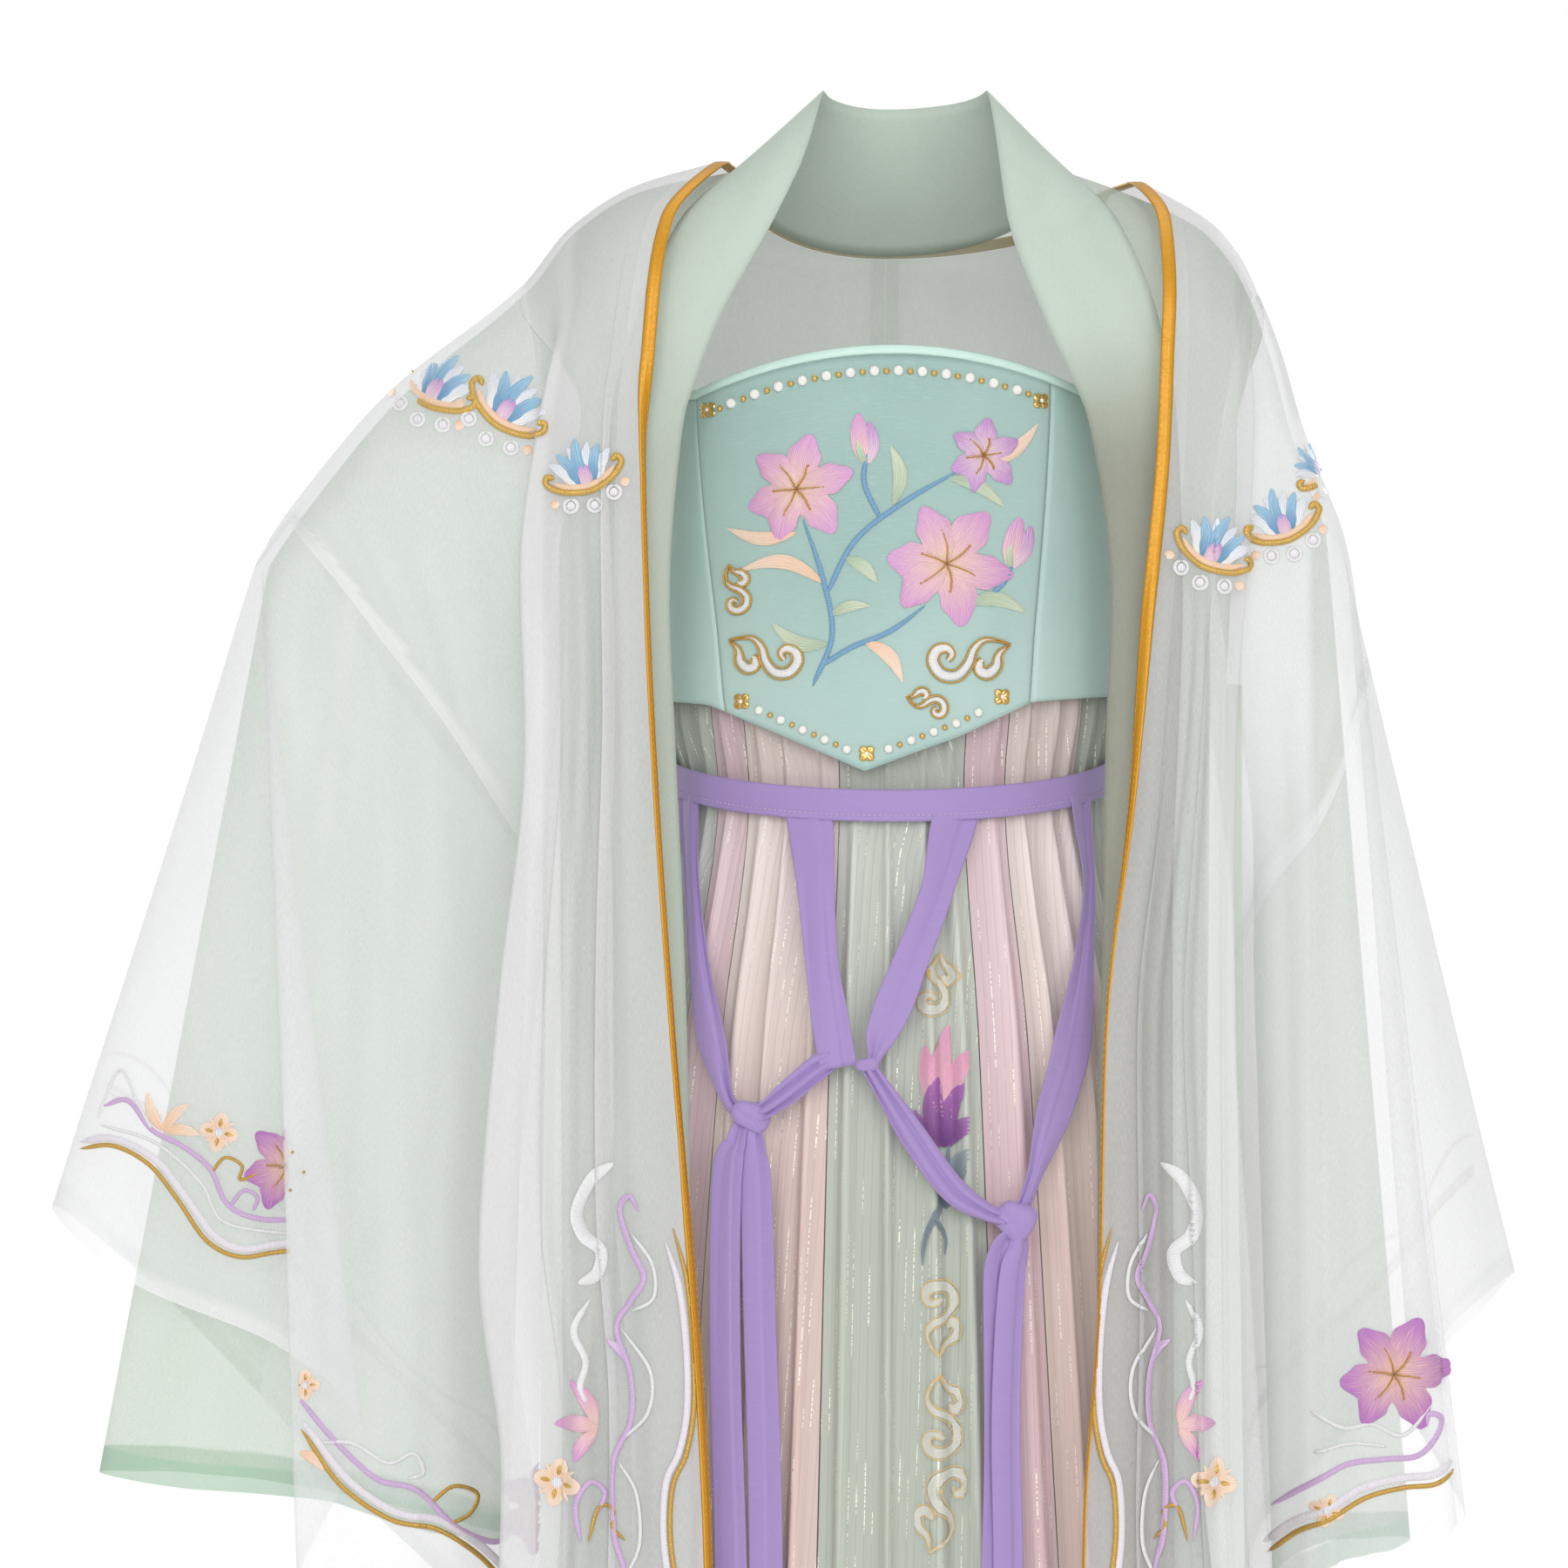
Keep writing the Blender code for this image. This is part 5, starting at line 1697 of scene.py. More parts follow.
# ---------------- the robes
@dataclass
class Robe:
    """What both robes share: body halves and sleeves on a form, moved by folds.

    Each calm is the shares across where folds start, are full, start to fade and end.
    """

    palette: Palette
    word: str
    slot: str
    form: RobeForm
    columns: int
    rows: int
    sleeve_columns: int
    folds: dict[Side, tuple[Fold, ...]]
    back_folds: tuple[Fold, ...]
    sleeve_folds: tuple[Fold, ...]
    front_calm: tuple[float, ...]
    back_calm: tuple[float, ...]
    sleeve_calm: tuple[float, ...]

    def half(self, point: Callable, side: Side, folds: tuple, calm: tuple) -> Array:
        """The grid of a front or a back, from the shoulder to the hem.

        Args:
            point: the form's method for a front or a back.
            side: the wearer's side.
            folds: the folds on it.
            calm: shares across where the folds fade in and out.

        Returns:
            The grid of points.
        """
        across = dense(0, 1, self.columns)[None, :]
        drops = self.form.drops(self.rows)[:, None]
        half = folded(point(side, across, drops), across, drops, folds, calm)
        half[..., 2] = np.maximum(half[..., 2], self.form.hem)
        return half

    def body(self, side: Side) -> Array:
        """The grid of one half of the body, from the front hem over the shoulder to the back hem.

        Args:
            side: the wearer's side.

        Returns:
            The grid of points.
        """
        front = self.half(self.form.front, side, self.folds[side], self.front_calm)
        back = self.half(self.form.back, side, self.back_folds, self.back_calm)
        return np.concatenate([front[::-1], back[1:]])

    def sleeve(self, side: Side, along: Array, gap: float = 0.0) -> Array:
        """A sleeve's grid, from the ridge down, with its folds.

        Args:
            side: the wearer's side.
            along: places of the rows, as the form's sleeve takes them.
            gap: half the gap between the two walls below the underarm.

        Returns:
            The grid of points.
        """
        at = dense(0, 1, self.sleeve_columns)
        grid = self.form.sleeve(side, along, at, gap)
        down = np.linalg.norm(grid - self.form.sleeve(side, np.zeros(1), at, gap), axis=-1)
        return folded(grid, at[None, :], down, self.sleeve_folds, self.sleeve_calm)

    def dress(self, part: str, side: Side, grid: Array, finish: str, rests_on: tuple[str, ...],
              shade: Array) -> None:
        """Builds one of the robe's cloths for the node of the same part."""
        sew(grid, f"{self.word}_cloth_{part}_{side.word}", self.palette[finish], self.slot,
            f"{self.word}_{part}_{side.word}", "hung", shade=shade)

    def edge(self, side: Side, back_drops: Array) -> tuple[Array, Array]:
        """The line where the body's free edge is sewn, front hem to shoulder, then to centre back.

        Args:
            side: the wearer's side.
            back_drops: drops of the back's rows.

        Returns:
            The front's points, hem to shoulder, and the back's.
        """
        drops = self.form.drops(self.rows)[::-1][:, None]
        front = self.form.front(side, np.zeros((1, 1)), drops)[:, 0]
        front[:, 2] = np.maximum(front[:, 2], self.form.hem)
        return front, self.form.back(side, np.zeros((1, 1)), back_drops[:, None])[:, 0]


@dataclass
class OuterRobe(Robe):
    """The sheer outer robe: two bodies, upper and lower sleeves, and the piped front edge."""

    word: str = "outer"
    slot: str = "outer_chiffon"
    form: RobeForm = OUTER_FORM
    columns: int = 190
    rows: int = 126
    sleeve_columns: int = 170
    folds: dict[Side, tuple[Fold, ...]] = field(default_factory=lambda: {
        Side.RIGHT: (
            Fold(0.24, 0.018, 0.0025, 0.16, 0.02, over=0.016),
            Fold(0.60, 0.016, 0.0022, -0.05, 0.30, over=0.008),
            Fold(0.12, 0.050, 0.0030, 0.06, 0.10),
            Fold(0.46, 0.045, 0.0050, 0.05, 0.10, 1.1),
            Fold(0.58, 0.040, -0.0040, -0.10, 0.50),
        ),
        Side.LEFT: (
            Fold(0.20, 0.018, 0.0025, 0.06, 0.28, over=0.014),
            Fold(0.50, 0.016, 0.0022, 0.05, 0.12, over=0.008),
            Fold(0.34, 0.038, 0.0060, -0.02, 0.20),
            Fold(0.62, 0.040, 0.0045, 0.02, 0.25),
            Fold(0.42, 0.050, 0.0045, -0.12, 0.80),
        ),
    })
    back_folds: tuple[Fold, ...] = (
        Fold(0.16, 0.07, 0.008, 0.05, 0.10), Fold(0.42, 0.06, -0.006, -0.04, 0.20),
        Fold(0.63, 0.05, 0.008, 0.06, 0.15), Fold(0.84, 0.05, 0.006, 0.02, 0.25),
    )
    sleeve_folds: tuple[Fold, ...] = (
        Fold(0.060, 0.020, 0.0040, 0.02, 0.08), Fold(0.19, 0.018, -0.0030, 0.01, 0.15),
        Fold(0.245, 0.014, 0.0040, 0.00, 0.30), Fold(0.68, 0.030, 0.0050, 0.02, 0.10),
        Fold(0.84, 0.030, 0.0060, -0.02, 0.12),
    )
    front_calm: tuple[float, ...] = (0.0, 0.05, 0.70, 0.77)
    back_calm: tuple[float, ...] = (0.0, 0.08, 0.9, 1.0)
    sleeve_calm: tuple[float, ...] = (0.03, 0.10, 0.88, 0.96)
    hem_width: float = 0.012
    facing: dict[Side, tuple[Spot, ...]] = field(default_factory=lambda: {
        Side.RIGHT: ((-1.34, 0.24), (-0.80, 0.23), (-0.49, 0.22), (-0.28, 0.17), (-0.14, 0.13),
                     (0.02, 0.10)),
        Side.LEFT: ((-1.34, 0.22), (-0.80, 0.20), (-0.60, 0.17), (-0.30, 0.15), (0.02, 0.12)),
    })

    def body_shade(self, side: Side, grid: Array) -> Array:
        """1 in the hem's turned-up strip, less in the front facing and the centre back seam.

        On the wearer's right the front's outer strip gets more; on the wearer's left the whole front
        goes below 0, most in its outer strip, which is painted shade.

        Args:
            side: the wearer's side.
            grid: the body's points.

        Returns:
            The shade, one for each point.
        """
        low = grid[..., 2] - self.form.hem
        shade = 1.0 - fade(low, self.hem_width - 0.001, self.hem_width + 0.0005)
        across = dense(0, 1, self.columns)
        wide = smooth(*zip(*self.facing[side]), grid[: self.rows, 0, 2])[:, None]
        shade[: self.rows] += 0.3 * (1 - fade(across[None, :], wide, wide + 0.006))
        # Denser and lighter in the outer strip on the wearer's right. On the wearer's left the front is
        # thinned, painted shade that lets the darker cloth behind show.
        outermost = fade(across[None, :], 0.64, 0.72)
        shade[: self.rows] += 0.5 * outermost if side is Side.RIGHT else -0.35 - 0.6 * outermost
        shade[self.rows:] += 0.8 * (1 - fade(np.abs(grid[self.rows:, :, 0]), 0.009, 0.010))
        return np.clip(shade, -1, 1)

    def piping(self, side: Side) -> tuple[Array, Array]:
        """The binding's grid, seven points across, and its normals, hem to centre back.

        Args:
            side: the wearer's side.

        Returns:
            The grid and the normals.
        """
        back_drops = self.form.neck_drop * np.sin(dense(0, math.pi / 2, 24)[1:])
        front, behind = self.edge(side, back_drops)
        sewn = np.concatenate([front, behind])
        count, still = len(front), np.zeros(len(front))
        turn = np.concatenate([still, np.arcsin(np.clip(back_drops / self.form.neck_drop, 0, 1))])
        inward = outward(side, -np.cos(turn), -0.5 * np.sin(turn), 0.85 * np.sin(turn))
        share = np.ones_like(turn)
        share[:count] = smooth(*zip(*self.form.cuts[side].trim), sewn[:count, 2])
        back = np.sqrt(1 - np.clip(share, 0, 1)[:, None] ** 2)
        towards = np.array([[0.0, 1.0, 0.0]])
        strip = inward * share[:, None] + towards * back
        normal = inward * back - towards * share[:, None] * np.sign(0.5 - (turn > 0.2))[:, None]
        across = dense(0, 1, 7)
        grid = sewn[:, None] + strip[:, None] * (self.form.gap + self.form.piping * across)[None, :, None]
        grid[-1, :, 0] = 0.0
        crown = 0.0010 * np.sin(math.pi * across) - 0.0007 * np.exp(-(((across - 0.67) / 0.12) ** 2))
        return grid + normal[:, None] * crown[None, :, None], normal

    def build(self) -> None:
        """Builds the robe and its embroidery."""
        fronts, sleeves, mouths = {}, {}, {}
        for side in Side:
            grid = self.body(side)
            below = (f"inner_cloth_body_{side.word}",)
            self.dress("body", side, grid, "outer", below, self.body_shade(side, grid))
            fronts[side] = Surface.of_grid(grid[: self.rows])
            upper, lower = self.build_sleeves(side)
            sleeves[side] = Surface.joined([Surface.of_grid(upper), Surface.of_grid(lower)])
            tip = int(np.argmax(np.abs(lower[-1, :, 0])))
            mouths[side] = lower[-14, tip + 4:-6][:, [0, 2]]
            self.build_piping(side)
        stitching = RobeStitching(self.palette, fronts, sleeves, self.form.hem)
        for side in Side:
            stitching.front(side)
            stitching.shoulder(side)
            stitching.cuff(side)
            stitching.cuff_behind(side, mouths[side])

    def build_sleeves(self, side: Side) -> list[Array]:
        """Builds the two parts of a sleeve, with the seam's turned cloth, and returns their grids.

        Args:
            side: the wearer's side.

        Returns:
            The grids, upper part first.
        """
        grids = []
        parts = (("upper", dense(0, 1, 60), 0.0010, 0.0005), ("lower", 1 + dense(0, 1, 70), 0.0004, 0.0))
        for word, along, gap, early in parts:
            grid = self.sleeve(side, along, gap)
            down = arc(grid, 0)
            value = fade(down, down[-1:] - 0.0135 + early, down[-1:] - 0.013 + early)
            # On the wearer's left the sleeve's front strip nearest the body is cloth folded over itself; its
            # step of 1.2 plies is partly painted light, so the strip reads bright where the body shades it.
            if side is Side.LEFT:
                doubled = 1 - fade(dense(0, 1, self.sleeve_columns), 0.098, 0.104)
                value = value + 1.2 * doubled[None, :]
            below = (f"inner_cloth_sleeve_{side.word}",)
            self.dress(f"sleeve_{word}", side, grid, "outer_sleeve", below, value)
            grids.append(grid)
        return grids

    def build_piping(self, side: Side) -> None:
        """Builds the satin binding of the front edge.

        Args:
            side: the wearer's side.
        """
        grid, normal = self.piping(side)
        sew(grid, f"front_binding_{side.word}", self.palette["gold"], "gold_satin",
            f"piping_{side.word}", wall=0.0014)
        rows = (grid[:, 1] + (grid[:, 2] - grid[:, 1]) * 0.4, grid[:, 5])
        sewn = [running_stitch(row + normal * 0.0009, 0.0036, 0.0013, 0.00024) for row in rows]
        Surface.joined(sewn).build(
            f"front_binding_stitches_{side.word}", self.palette["gold_thread"], "gold_satin")


INNER_FOLDS = (Fold(0.30, 0.10, 0.004, 0.05, 0.10), Fold(0.62, 0.09, -0.004, -0.05, 0.20))
BAND_FREE = {
    Side.RIGHT: mm(-1290, 118, -860, 125, -600, 127, -470, 131, -360, 136, -270, 139.5, -160, 131,
        -130, 122, -100, 111, -30, 73.5, 20, 52, 65, 42),
    Side.LEFT: mm(-1290, 118, -860, 125, -600, 127, -470, 131, -360, 133, -270, 136.5, -160, 123,
        -130, 111, -100, 97.5, -30, 72.5, 20, 67, 65, 63.5),
}


@dataclass
class InnerRobe(Robe):
    """The mint robe: two bodies, two sleeves with a darker cuff band, and the collar band."""

    word: str = "inner"
    slot: str = "mint_chiffon"
    form: RobeForm = INNER_FORM
    columns: int = 90
    rows: int = 120
    sleeve_columns: int = 130
    folds: dict[Side, tuple[Fold, ...]] = field(default_factory=lambda: dict.fromkeys(Side, INNER_FOLDS))
    back_folds: tuple[Fold, ...] = (
        Fold(0.22, 0.08, 0.006, 0.03, 0.10), Fold(0.50, 0.07, -0.004, 0.05, 0.15),
        Fold(0.74, 0.06, 0.005, -0.04, 0.20),
    )
    sleeve_folds: tuple[Fold, ...] = (
        Fold(0.12, 0.024, 0.0028, 0.03, 0.10), Fold(0.26, 0.025, -0.0040, 0.02, 0.15),
        Fold(0.38, 0.020, 0.0030, 0.01, 0.20), Fold(0.70, 0.030, 0.0050, 0.00, 0.15),
    )
    front_calm: tuple[float, ...] = (0.0, 0.1, 0.85, 1.0)
    back_calm: tuple[float, ...] = (0.0, 0.1, 0.85, 1.0)
    sleeve_calm: tuple[float, ...] = (0.03, 0.12, 0.85, 0.96)
    cuff: float = 0.017
    corner: int = 7
    hem_width: float = 0.010

    def band_half(self, side: Side) -> Array:
        """Half of the collar band, from the front hem to the centre back, thirteen points across.

        The free edge follows its own line down the front and stands up round the neck.

        Args:
            side: the wearer's side.

        Returns:
            The grid of points.
        """
        turn = dense(0, math.pi / 2, 26)[1:]
        sewn, back_sewn = self.edge(side, self.form.neck_drop * np.sin(turn))
        drops = self.form.drops(self.rows)[::-1]
        z = sewn[:, 2] + 0.055 * (1 - fade(drops, 0.0, 0.12))
        zs, xs = zip(*BAND_FREE[side])
        y = sewn[:, 1] - 0.004 * fade(drops, 0.0, 0.1) + 0.012 * (1 - fade(drops, 0.0, 0.06))
        free = outward(side, smooth(zs, xs, z), y, z)
        back_sewn[-1, 0] = 0.0
        back_free = outward(
            side, xs[-1] * np.cos(turn), 0.012 + 0.040 * np.sin(turn), 0.065 - 0.007 * np.sin(turn))
        free = np.concatenate([free, back_free])
        sewn = np.concatenate([sewn, back_sewn])
        free = np.concatenate([free[:-40], rounded(free, self.corner)[-40:-6], free[-6:]])
        across = dense(0, 1, 13)[None, :, None]
        grid = free[:, None] * (1 - across) + sewn[:, None] * across
        grid[..., 1] -= 0.0035 * np.sin(math.pi * across[..., 0])
        return grid

    def build(self) -> None:
        """Builds the bodies, the sleeves and the collar band."""
        for side in Side:
            grid = self.body(side)
            low = grid[..., 2] - self.form.hem
            self.dress("body", side, grid, "inner", ("bodice_panel_back", "skirt_gore_sage_3"),
                       1.0 - fade(low, self.hem_width - 0.001, self.hem_width))
            along = np.concatenate([dense(0, 1, 54), 1 + dense(0, 0.96, 40)[1:-1], 1 + dense(0.96, 1, 16)])
            sleeve = self.sleeve(side, along)
            down = arc(sleeve, 0)
            start = down[-1:] - self.cuff
            self.dress("sleeve", side, sleeve, "inner_sleeve", (f"inner_cloth_body_{side.word}",),
                       fade(down, start - 0.0005, start + 0.0005))
        halves = [self.band_half(side) for side in Side]
        grid = np.concatenate([halves[0], halves[1][:-1][::-1]])
        # Painted shade: below the chest the band's front is thinned and mixed to its darker grey, fully on
        # the wearer's left and about a third as much on the right.
        low = fade(-grid[..., 2], 0.09, 0.20) * np.where(grid[..., 0] > 0, 1.0, 0.35)
        sew(grid, "collar_cloth_band", self.palette["band"], "mint_band", "inner_collar_band", "laid",
            wall=0.0011, shade=low)


# ---------------- skirt, bodice, belt
@dataclass
class Skirt:
    """Fifteen pleated gores in five repeats of three colours."""

    palette: Palette
    figure: Figure = FIGURE
    gores: tuple[tuple[str, float, int], ...] = (("sage", 33.0, 4), ("pink", 12.0, 1), ("peach", 27.0, 3))
    repeats: int = 5
    first: float = -14.0
    top: float = -0.150
    hem: float = -1.42
    per_pleat: int = 14
    rows: int = 110
    pleat: tuple[Spot, ...] = (
        (-1.42, 0.011), (-0.62, 0.009), (-0.44, 0.006), (-0.39, 0.002), (-0.345, 0.005),
        (-0.30, 0.002), (-0.15, 0.002),
    )

    def gore(self, start: float, width: float, pleats: int, number: int) -> tuple[Array, Array]:
        """The grid of one gore and the painted shade in its pleats and at its top, under the bodice.

        Each pleat rises steeply, crests early and falls away slowly: a sine whose phase is bent by
        its own sine. The pleats wander a little with height, each its own way.

        Args:
            start, width: where it begins round the figure and how far it goes, in degrees.
            pleats: how many it has.
            number: its place among the gores.

        Returns:
            The grid and the shade.
        """
        z = self.top + (self.hem - self.top) * dense(0, 1, self.rows)[:, None]
        share = dense(0, 1, pleats * self.per_pleat + 1)[None, :]
        gap = math.degrees(0.0006 / 0.13)
        angle = np.radians(start + gap / 2 + (width - gap) * share)
        phase = share * pleats
        low = fade(-z, 0.45, 1.3)
        wander = 0.10 * np.sin(3.1 * z + 1.7 * number + 2.2 * phase) * low
        wander = (wander + 0.13 * np.sin(4.1 * phase + 1.9 * number)) * np.sin(math.pi * share)
        turn = 2 * math.pi * (phase + wander)
        bent = turn - 0.88 * np.sin(turn) - 0.5
        crest = 0.5 - 0.5 * np.cos(bent)
        fine = 0.16 * np.sin(2.6 * turn + 1.3 * number) * np.sin(math.pi * share) ** 0.5
        depth = smooth(*zip(*self.pleat), z)
        points = self.figure.around(angle, z, depth * (0.05 + 0.95 * crest + fine * low))
        # Painted shade: darker in the pleats' valleys and at the top, under the bodice and belt.
        valley = np.clip(1 - crest, 0, 1) * 0.6 * fade(depth, 0.001, 0.006)
        return points, np.clip(valley + 1.1 * fade(z, -0.436, -0.376), 0, 1.1)

    def print_front(self, gore: Surface) -> None:
        """The soft print on the front gore: a water lily, its stem and outlined clouds.

        Args:
            gore: the cloth that is printed.
        """
        work = Embroidery(Ground([gore]), self.palette, "skirt_print", "skirt_sage", 0.020,
                          (0.012, 0.0465), 0.0014, True)
        for tip, width in (((0.020, -0.548), 0.012), ((0.034, -0.536), 0.015), ((0.048, -0.550), 0.012)):
            work.petal("ink_pink", (0.034, -0.596), tip, width, 0.08, 0.7)
        for tip, width in (((0.010, -0.586), 0.010), ((0.026, -0.568), 0.013), ((0.044, -0.572), 0.013),
                           ((0.056, -0.592), 0.010)):
            work.petal("ink_violet", (0.033, -0.612), tip, width, 0.10, 0.7)
        work.petal("ink_slate", (0.030, -0.650), (0.050, -0.612), 0.015, 0.10, 0.6)
        work.band("ink_slate", ((0.034, -0.610), (0.030, -0.640), (0.020, -0.668), (0.018, -0.684)),
                  0.0032, (0.1, 0.3))
        work.band("ink_slate", ((0.025, -0.656), (0.031, -0.668), (0.030, -0.678)), 0.0024, (0.1, 0.3))
        clouds = (
            ((0.028, -0.510), 0.030, 1.5, 1), ((0.029, -0.718), 0.036, 4.6, -1),
            ((0.030, -0.774), 0.040, 1.7, 1), ((0.028, -0.834), 0.042, 4.5, 1),
            ((0.031, -0.898), 0.040, 1.4, -1), ((0.028, -0.965), 0.042, 4.8, 1),
            ((0.031, -1.040), 0.040, 1.6, -1), ((0.029, -1.120), 0.042, 4.6, 1),
        )
        for place, size, turn, flip in clouds:
            work.cloud(place, size, turn, flip, 0.0078, "ink_cloud", "ink_gold", 0.0009)
        work.build()

    def build(self) -> None:
        """Builds the gores in order round the skirt, and the print."""
        start, number = self.first, 0
        for repeat in range(self.repeats):
            for colour, width, pleats in self.gores:
                grid, shade = self.gore(start, width, pleats, number)
                sew(grid, f"skirt_gore_{colour}_{repeat + 1}", self.palette[colour], f"skirt_{colour}",
                    f"skirt_{colour}_{repeat + 1}", "gathered", shade=shade)
                if number == 0:
                    self.print_front(Surface.of_grid(grid))
                start, number = start + width, number + 1


BODICE_STEMS = (
    mm(-50, -326, -38, -294, -44, -258, -56, -222),
    mm(-46, -314, -26, -302, -2, -292, 20, -276),
    mm(-42, -270, -24, -236, 6, -212, 44, -190),
    mm(-8, -222, -18, -200, -16, -180),
    mm(62, -268, 70, -260, 75, -249),
)
BODICE_LEAVES = (
    ("sage_silk", mm(-40, -300, -76, -286), 10, 0.16),
    ("peach_silk", mm(-43, -262, -98, -254), 9, -0.18),
    ("sage_silk", mm(-30, -246, -10, -262), 8.5, 0.1),
    ("peach_silk", mm(-18, -298, 6, -324), 9, 0.14),
    ("sage_silk", mm(0, -214, -2, -176), 9, -0.14),
    ("sage_silk", mm(46, -274, 84, -280), 9.5, 0.14),
    ("peach_silk", mm(50, -186, 92, -160), 9, -0.14),
    ("sage_silk", mm(34, -196, 70, -214), 8.5, 0.1),
    ("peach_silk", mm(-60, -230, -104, -226), 8.5, 0.12),
    ("sage_silk", mm(-40, -282, -14, -276), 7, 0.1),
)


@dataclass
class Bodice:
    """Four satin panels with princess seams, bound along the top."""

    palette: Palette
    figure: Figure = FIGURE
    off: float = 0.0085
    top: float = -0.113
    dip: float = 0.024
    hem: tuple[Spot, ...] = (
        (-0.150, -0.333), (-0.111, -0.337), (-0.084, -0.349), (-0.0174, -0.379),
        (0.0407, -0.357), (0.0841, -0.3355), (0.150, -0.330),
    )
    seams: tuple[tuple[str, float, float], ...] = (
        ("front", -60.0, -43.0), ("side_left", 45.0, 34.0), ("back", 100.0, 100.0),
        ("side_right", 260.0, 260.0),
    )
    binding: float = 0.005
    rows: int = 56
    columns: tuple[int, ...] = (90, 36, 60, 36)

    def top_z(self, x: Array) -> Array:
        """Height of the top edge."""
        return self.top - self.dip * np.clip(x / 0.128, -1, 1) ** 2

    def panel(self, number: int) -> Array:
        """The grid of a panel, with the soft drag lines of worn satin.

        Args:
            number: its place round the body.

        Returns:
            The grid of points.
        """
        _, top_start, low_start = self.seams[number]
        _, top_end, low_end = self.seams[(number + 1) % len(self.seams)]
        if number == len(self.seams) - 1:
            top_end, low_end = top_end + 360.0, low_end + 360.0
        down = dense(0, 1, self.rows)[:, None]
        share = dense(0, 1, self.columns[number])[None, :]
        gap = math.degrees(0.0006 / 0.14)
        start = top_start + (low_start - top_start) * down + gap / 2
        end = top_end + (low_end - top_end) * down - gap / 2
        angle = np.radians(start + (end - start) * share)
        x = self.figure.around(angle, np.full_like(angle, self.top - 0.1), self.off)[..., 0]
        top = self.top_z(x) - self.binding - 0.0005
        hem = np.where(np.cos(angle) > 0, np.interp(x, *zip(*self.hem)), -0.331)
        z = top + (hem - top) * down
        drag = np.sin(26 * down + 7 * share + number) * np.sin(9 * share + 2 * down)
        ease = np.sin(math.pi * share) * np.sin(math.pi * down)
        seam = np.exp(-((np.minimum(share, 1 - share) * (end - start) / 1.1) ** 2))
        off = self.off + 0.005 * fade(-z, 0.28, 0.38) + 0.0006 * drag * ease - 0.0008 * seam
        return self.figure.around(angle, z, off)

    def face(self, grid: Array) -> Array:
        """The outer face of a panel's wall."""
        normals = grid_normals(grid)
        return grid + normals * np.sign(normals[..., 1:2] * grid[..., 1:2]) * 0.0006

    def build(self) -> None:
        """Builds the panels, the binding and the embroidery."""
        surfaces = []
        for number, (word, _, _) in enumerate(self.seams):
            grid = self.panel(number)
            surfaces.append(Surface.of_grid(self.face(grid)))
            # Painted light and shade: the side panels are lighter lower down, the back is darker, and the
            # front is lighter towards its sides and its lower edge.
            held_by, shade = ("waist_belt",), 0.5 + 0.2 * fade(-grid[..., 2], 0.24, 0.33)
            if word == "front":
                sides = np.clip(np.abs(grid[..., 0] + 0.010) / 0.10, 0, 1) ** 1.5
                shade = 0.16 + 0.28 * sides + 0.26 * fade(-grid[..., 2], 0.23, 0.34)
            elif word == "back":
                held_by, shade = ("waist_belt", "bodice_panel_side_left"), np.full(grid.shape[:2], 0.3)
            sew(grid, f"bodice_panel_{word}", self.palette["satin"], "turquoise_satin", f"bodice_{word}",
                "stretched", 0.0012, shade)
        self.embroider(surfaces)
        angle = dense(math.pi, 3 * math.pi, 240)
        x = self.figure.around(angle, np.full_like(angle, self.top - 0.1), self.off)[:, 0]
        height = self.top_z(x)[None, :] - self.binding * dense(0, 1, 7)[:, None]
        crown = 0.0012 * np.sin(math.pi * dense(0, 1, 7))[:, None]
        grid = self.figure.around(angle[None, :], height, self.off + crown)
        sew(grid, "bodice_top_binding", self.palette["binding"], "light_binding", "bodice_binding",
            wall=0.0016)

    def beading(self, work: Embroidery) -> None:
        """Rows of pearls and gold beads with gold florets at their ends and at the point.

        Args:
            work: the embroidery that holds the beads.
        """
        xs = dense(-0.108, 0.085, 27)
        upper = np.stack([xs, self.top_z(xs) - 0.0165 - 0.003 * (xs / 0.1) ** 2], axis=1)
        arms = ((-0.090, -0.022, 11), (-0.010, 0.060, 11))
        for start, end, count in arms:
            xs = dense(start, end, count)
            arm = np.stack([xs, np.interp(xs, *zip(*self.hem)) + 0.0085], axis=1)
            work.dots("pearl", arm[1::2], 0.0028)
            work.dots("bead", arm[2:-1:2], 0.0019)
        work.dots("bead", upper[0::2], 0.0021)
        work.dots("pearl", upper[1::2], 0.0033)
        corners = ((-0.116, -0.1502), (0.0935, -0.1460), (-0.0945, -0.3352), (0.0680, -0.3325),
                   (-0.0165, -0.3680))
        for x, z in corners:
            for k in range(4):
                tip = beside((x, z), 0.0058, math.pi / 4 + math.pi / 2 * k)
                work.petal("bead", (x, z), tip, 0.0056, 0.0, 0.45, 0.0016)
            work.dots("pearl", np.array([(x, z)]), 0.0016)

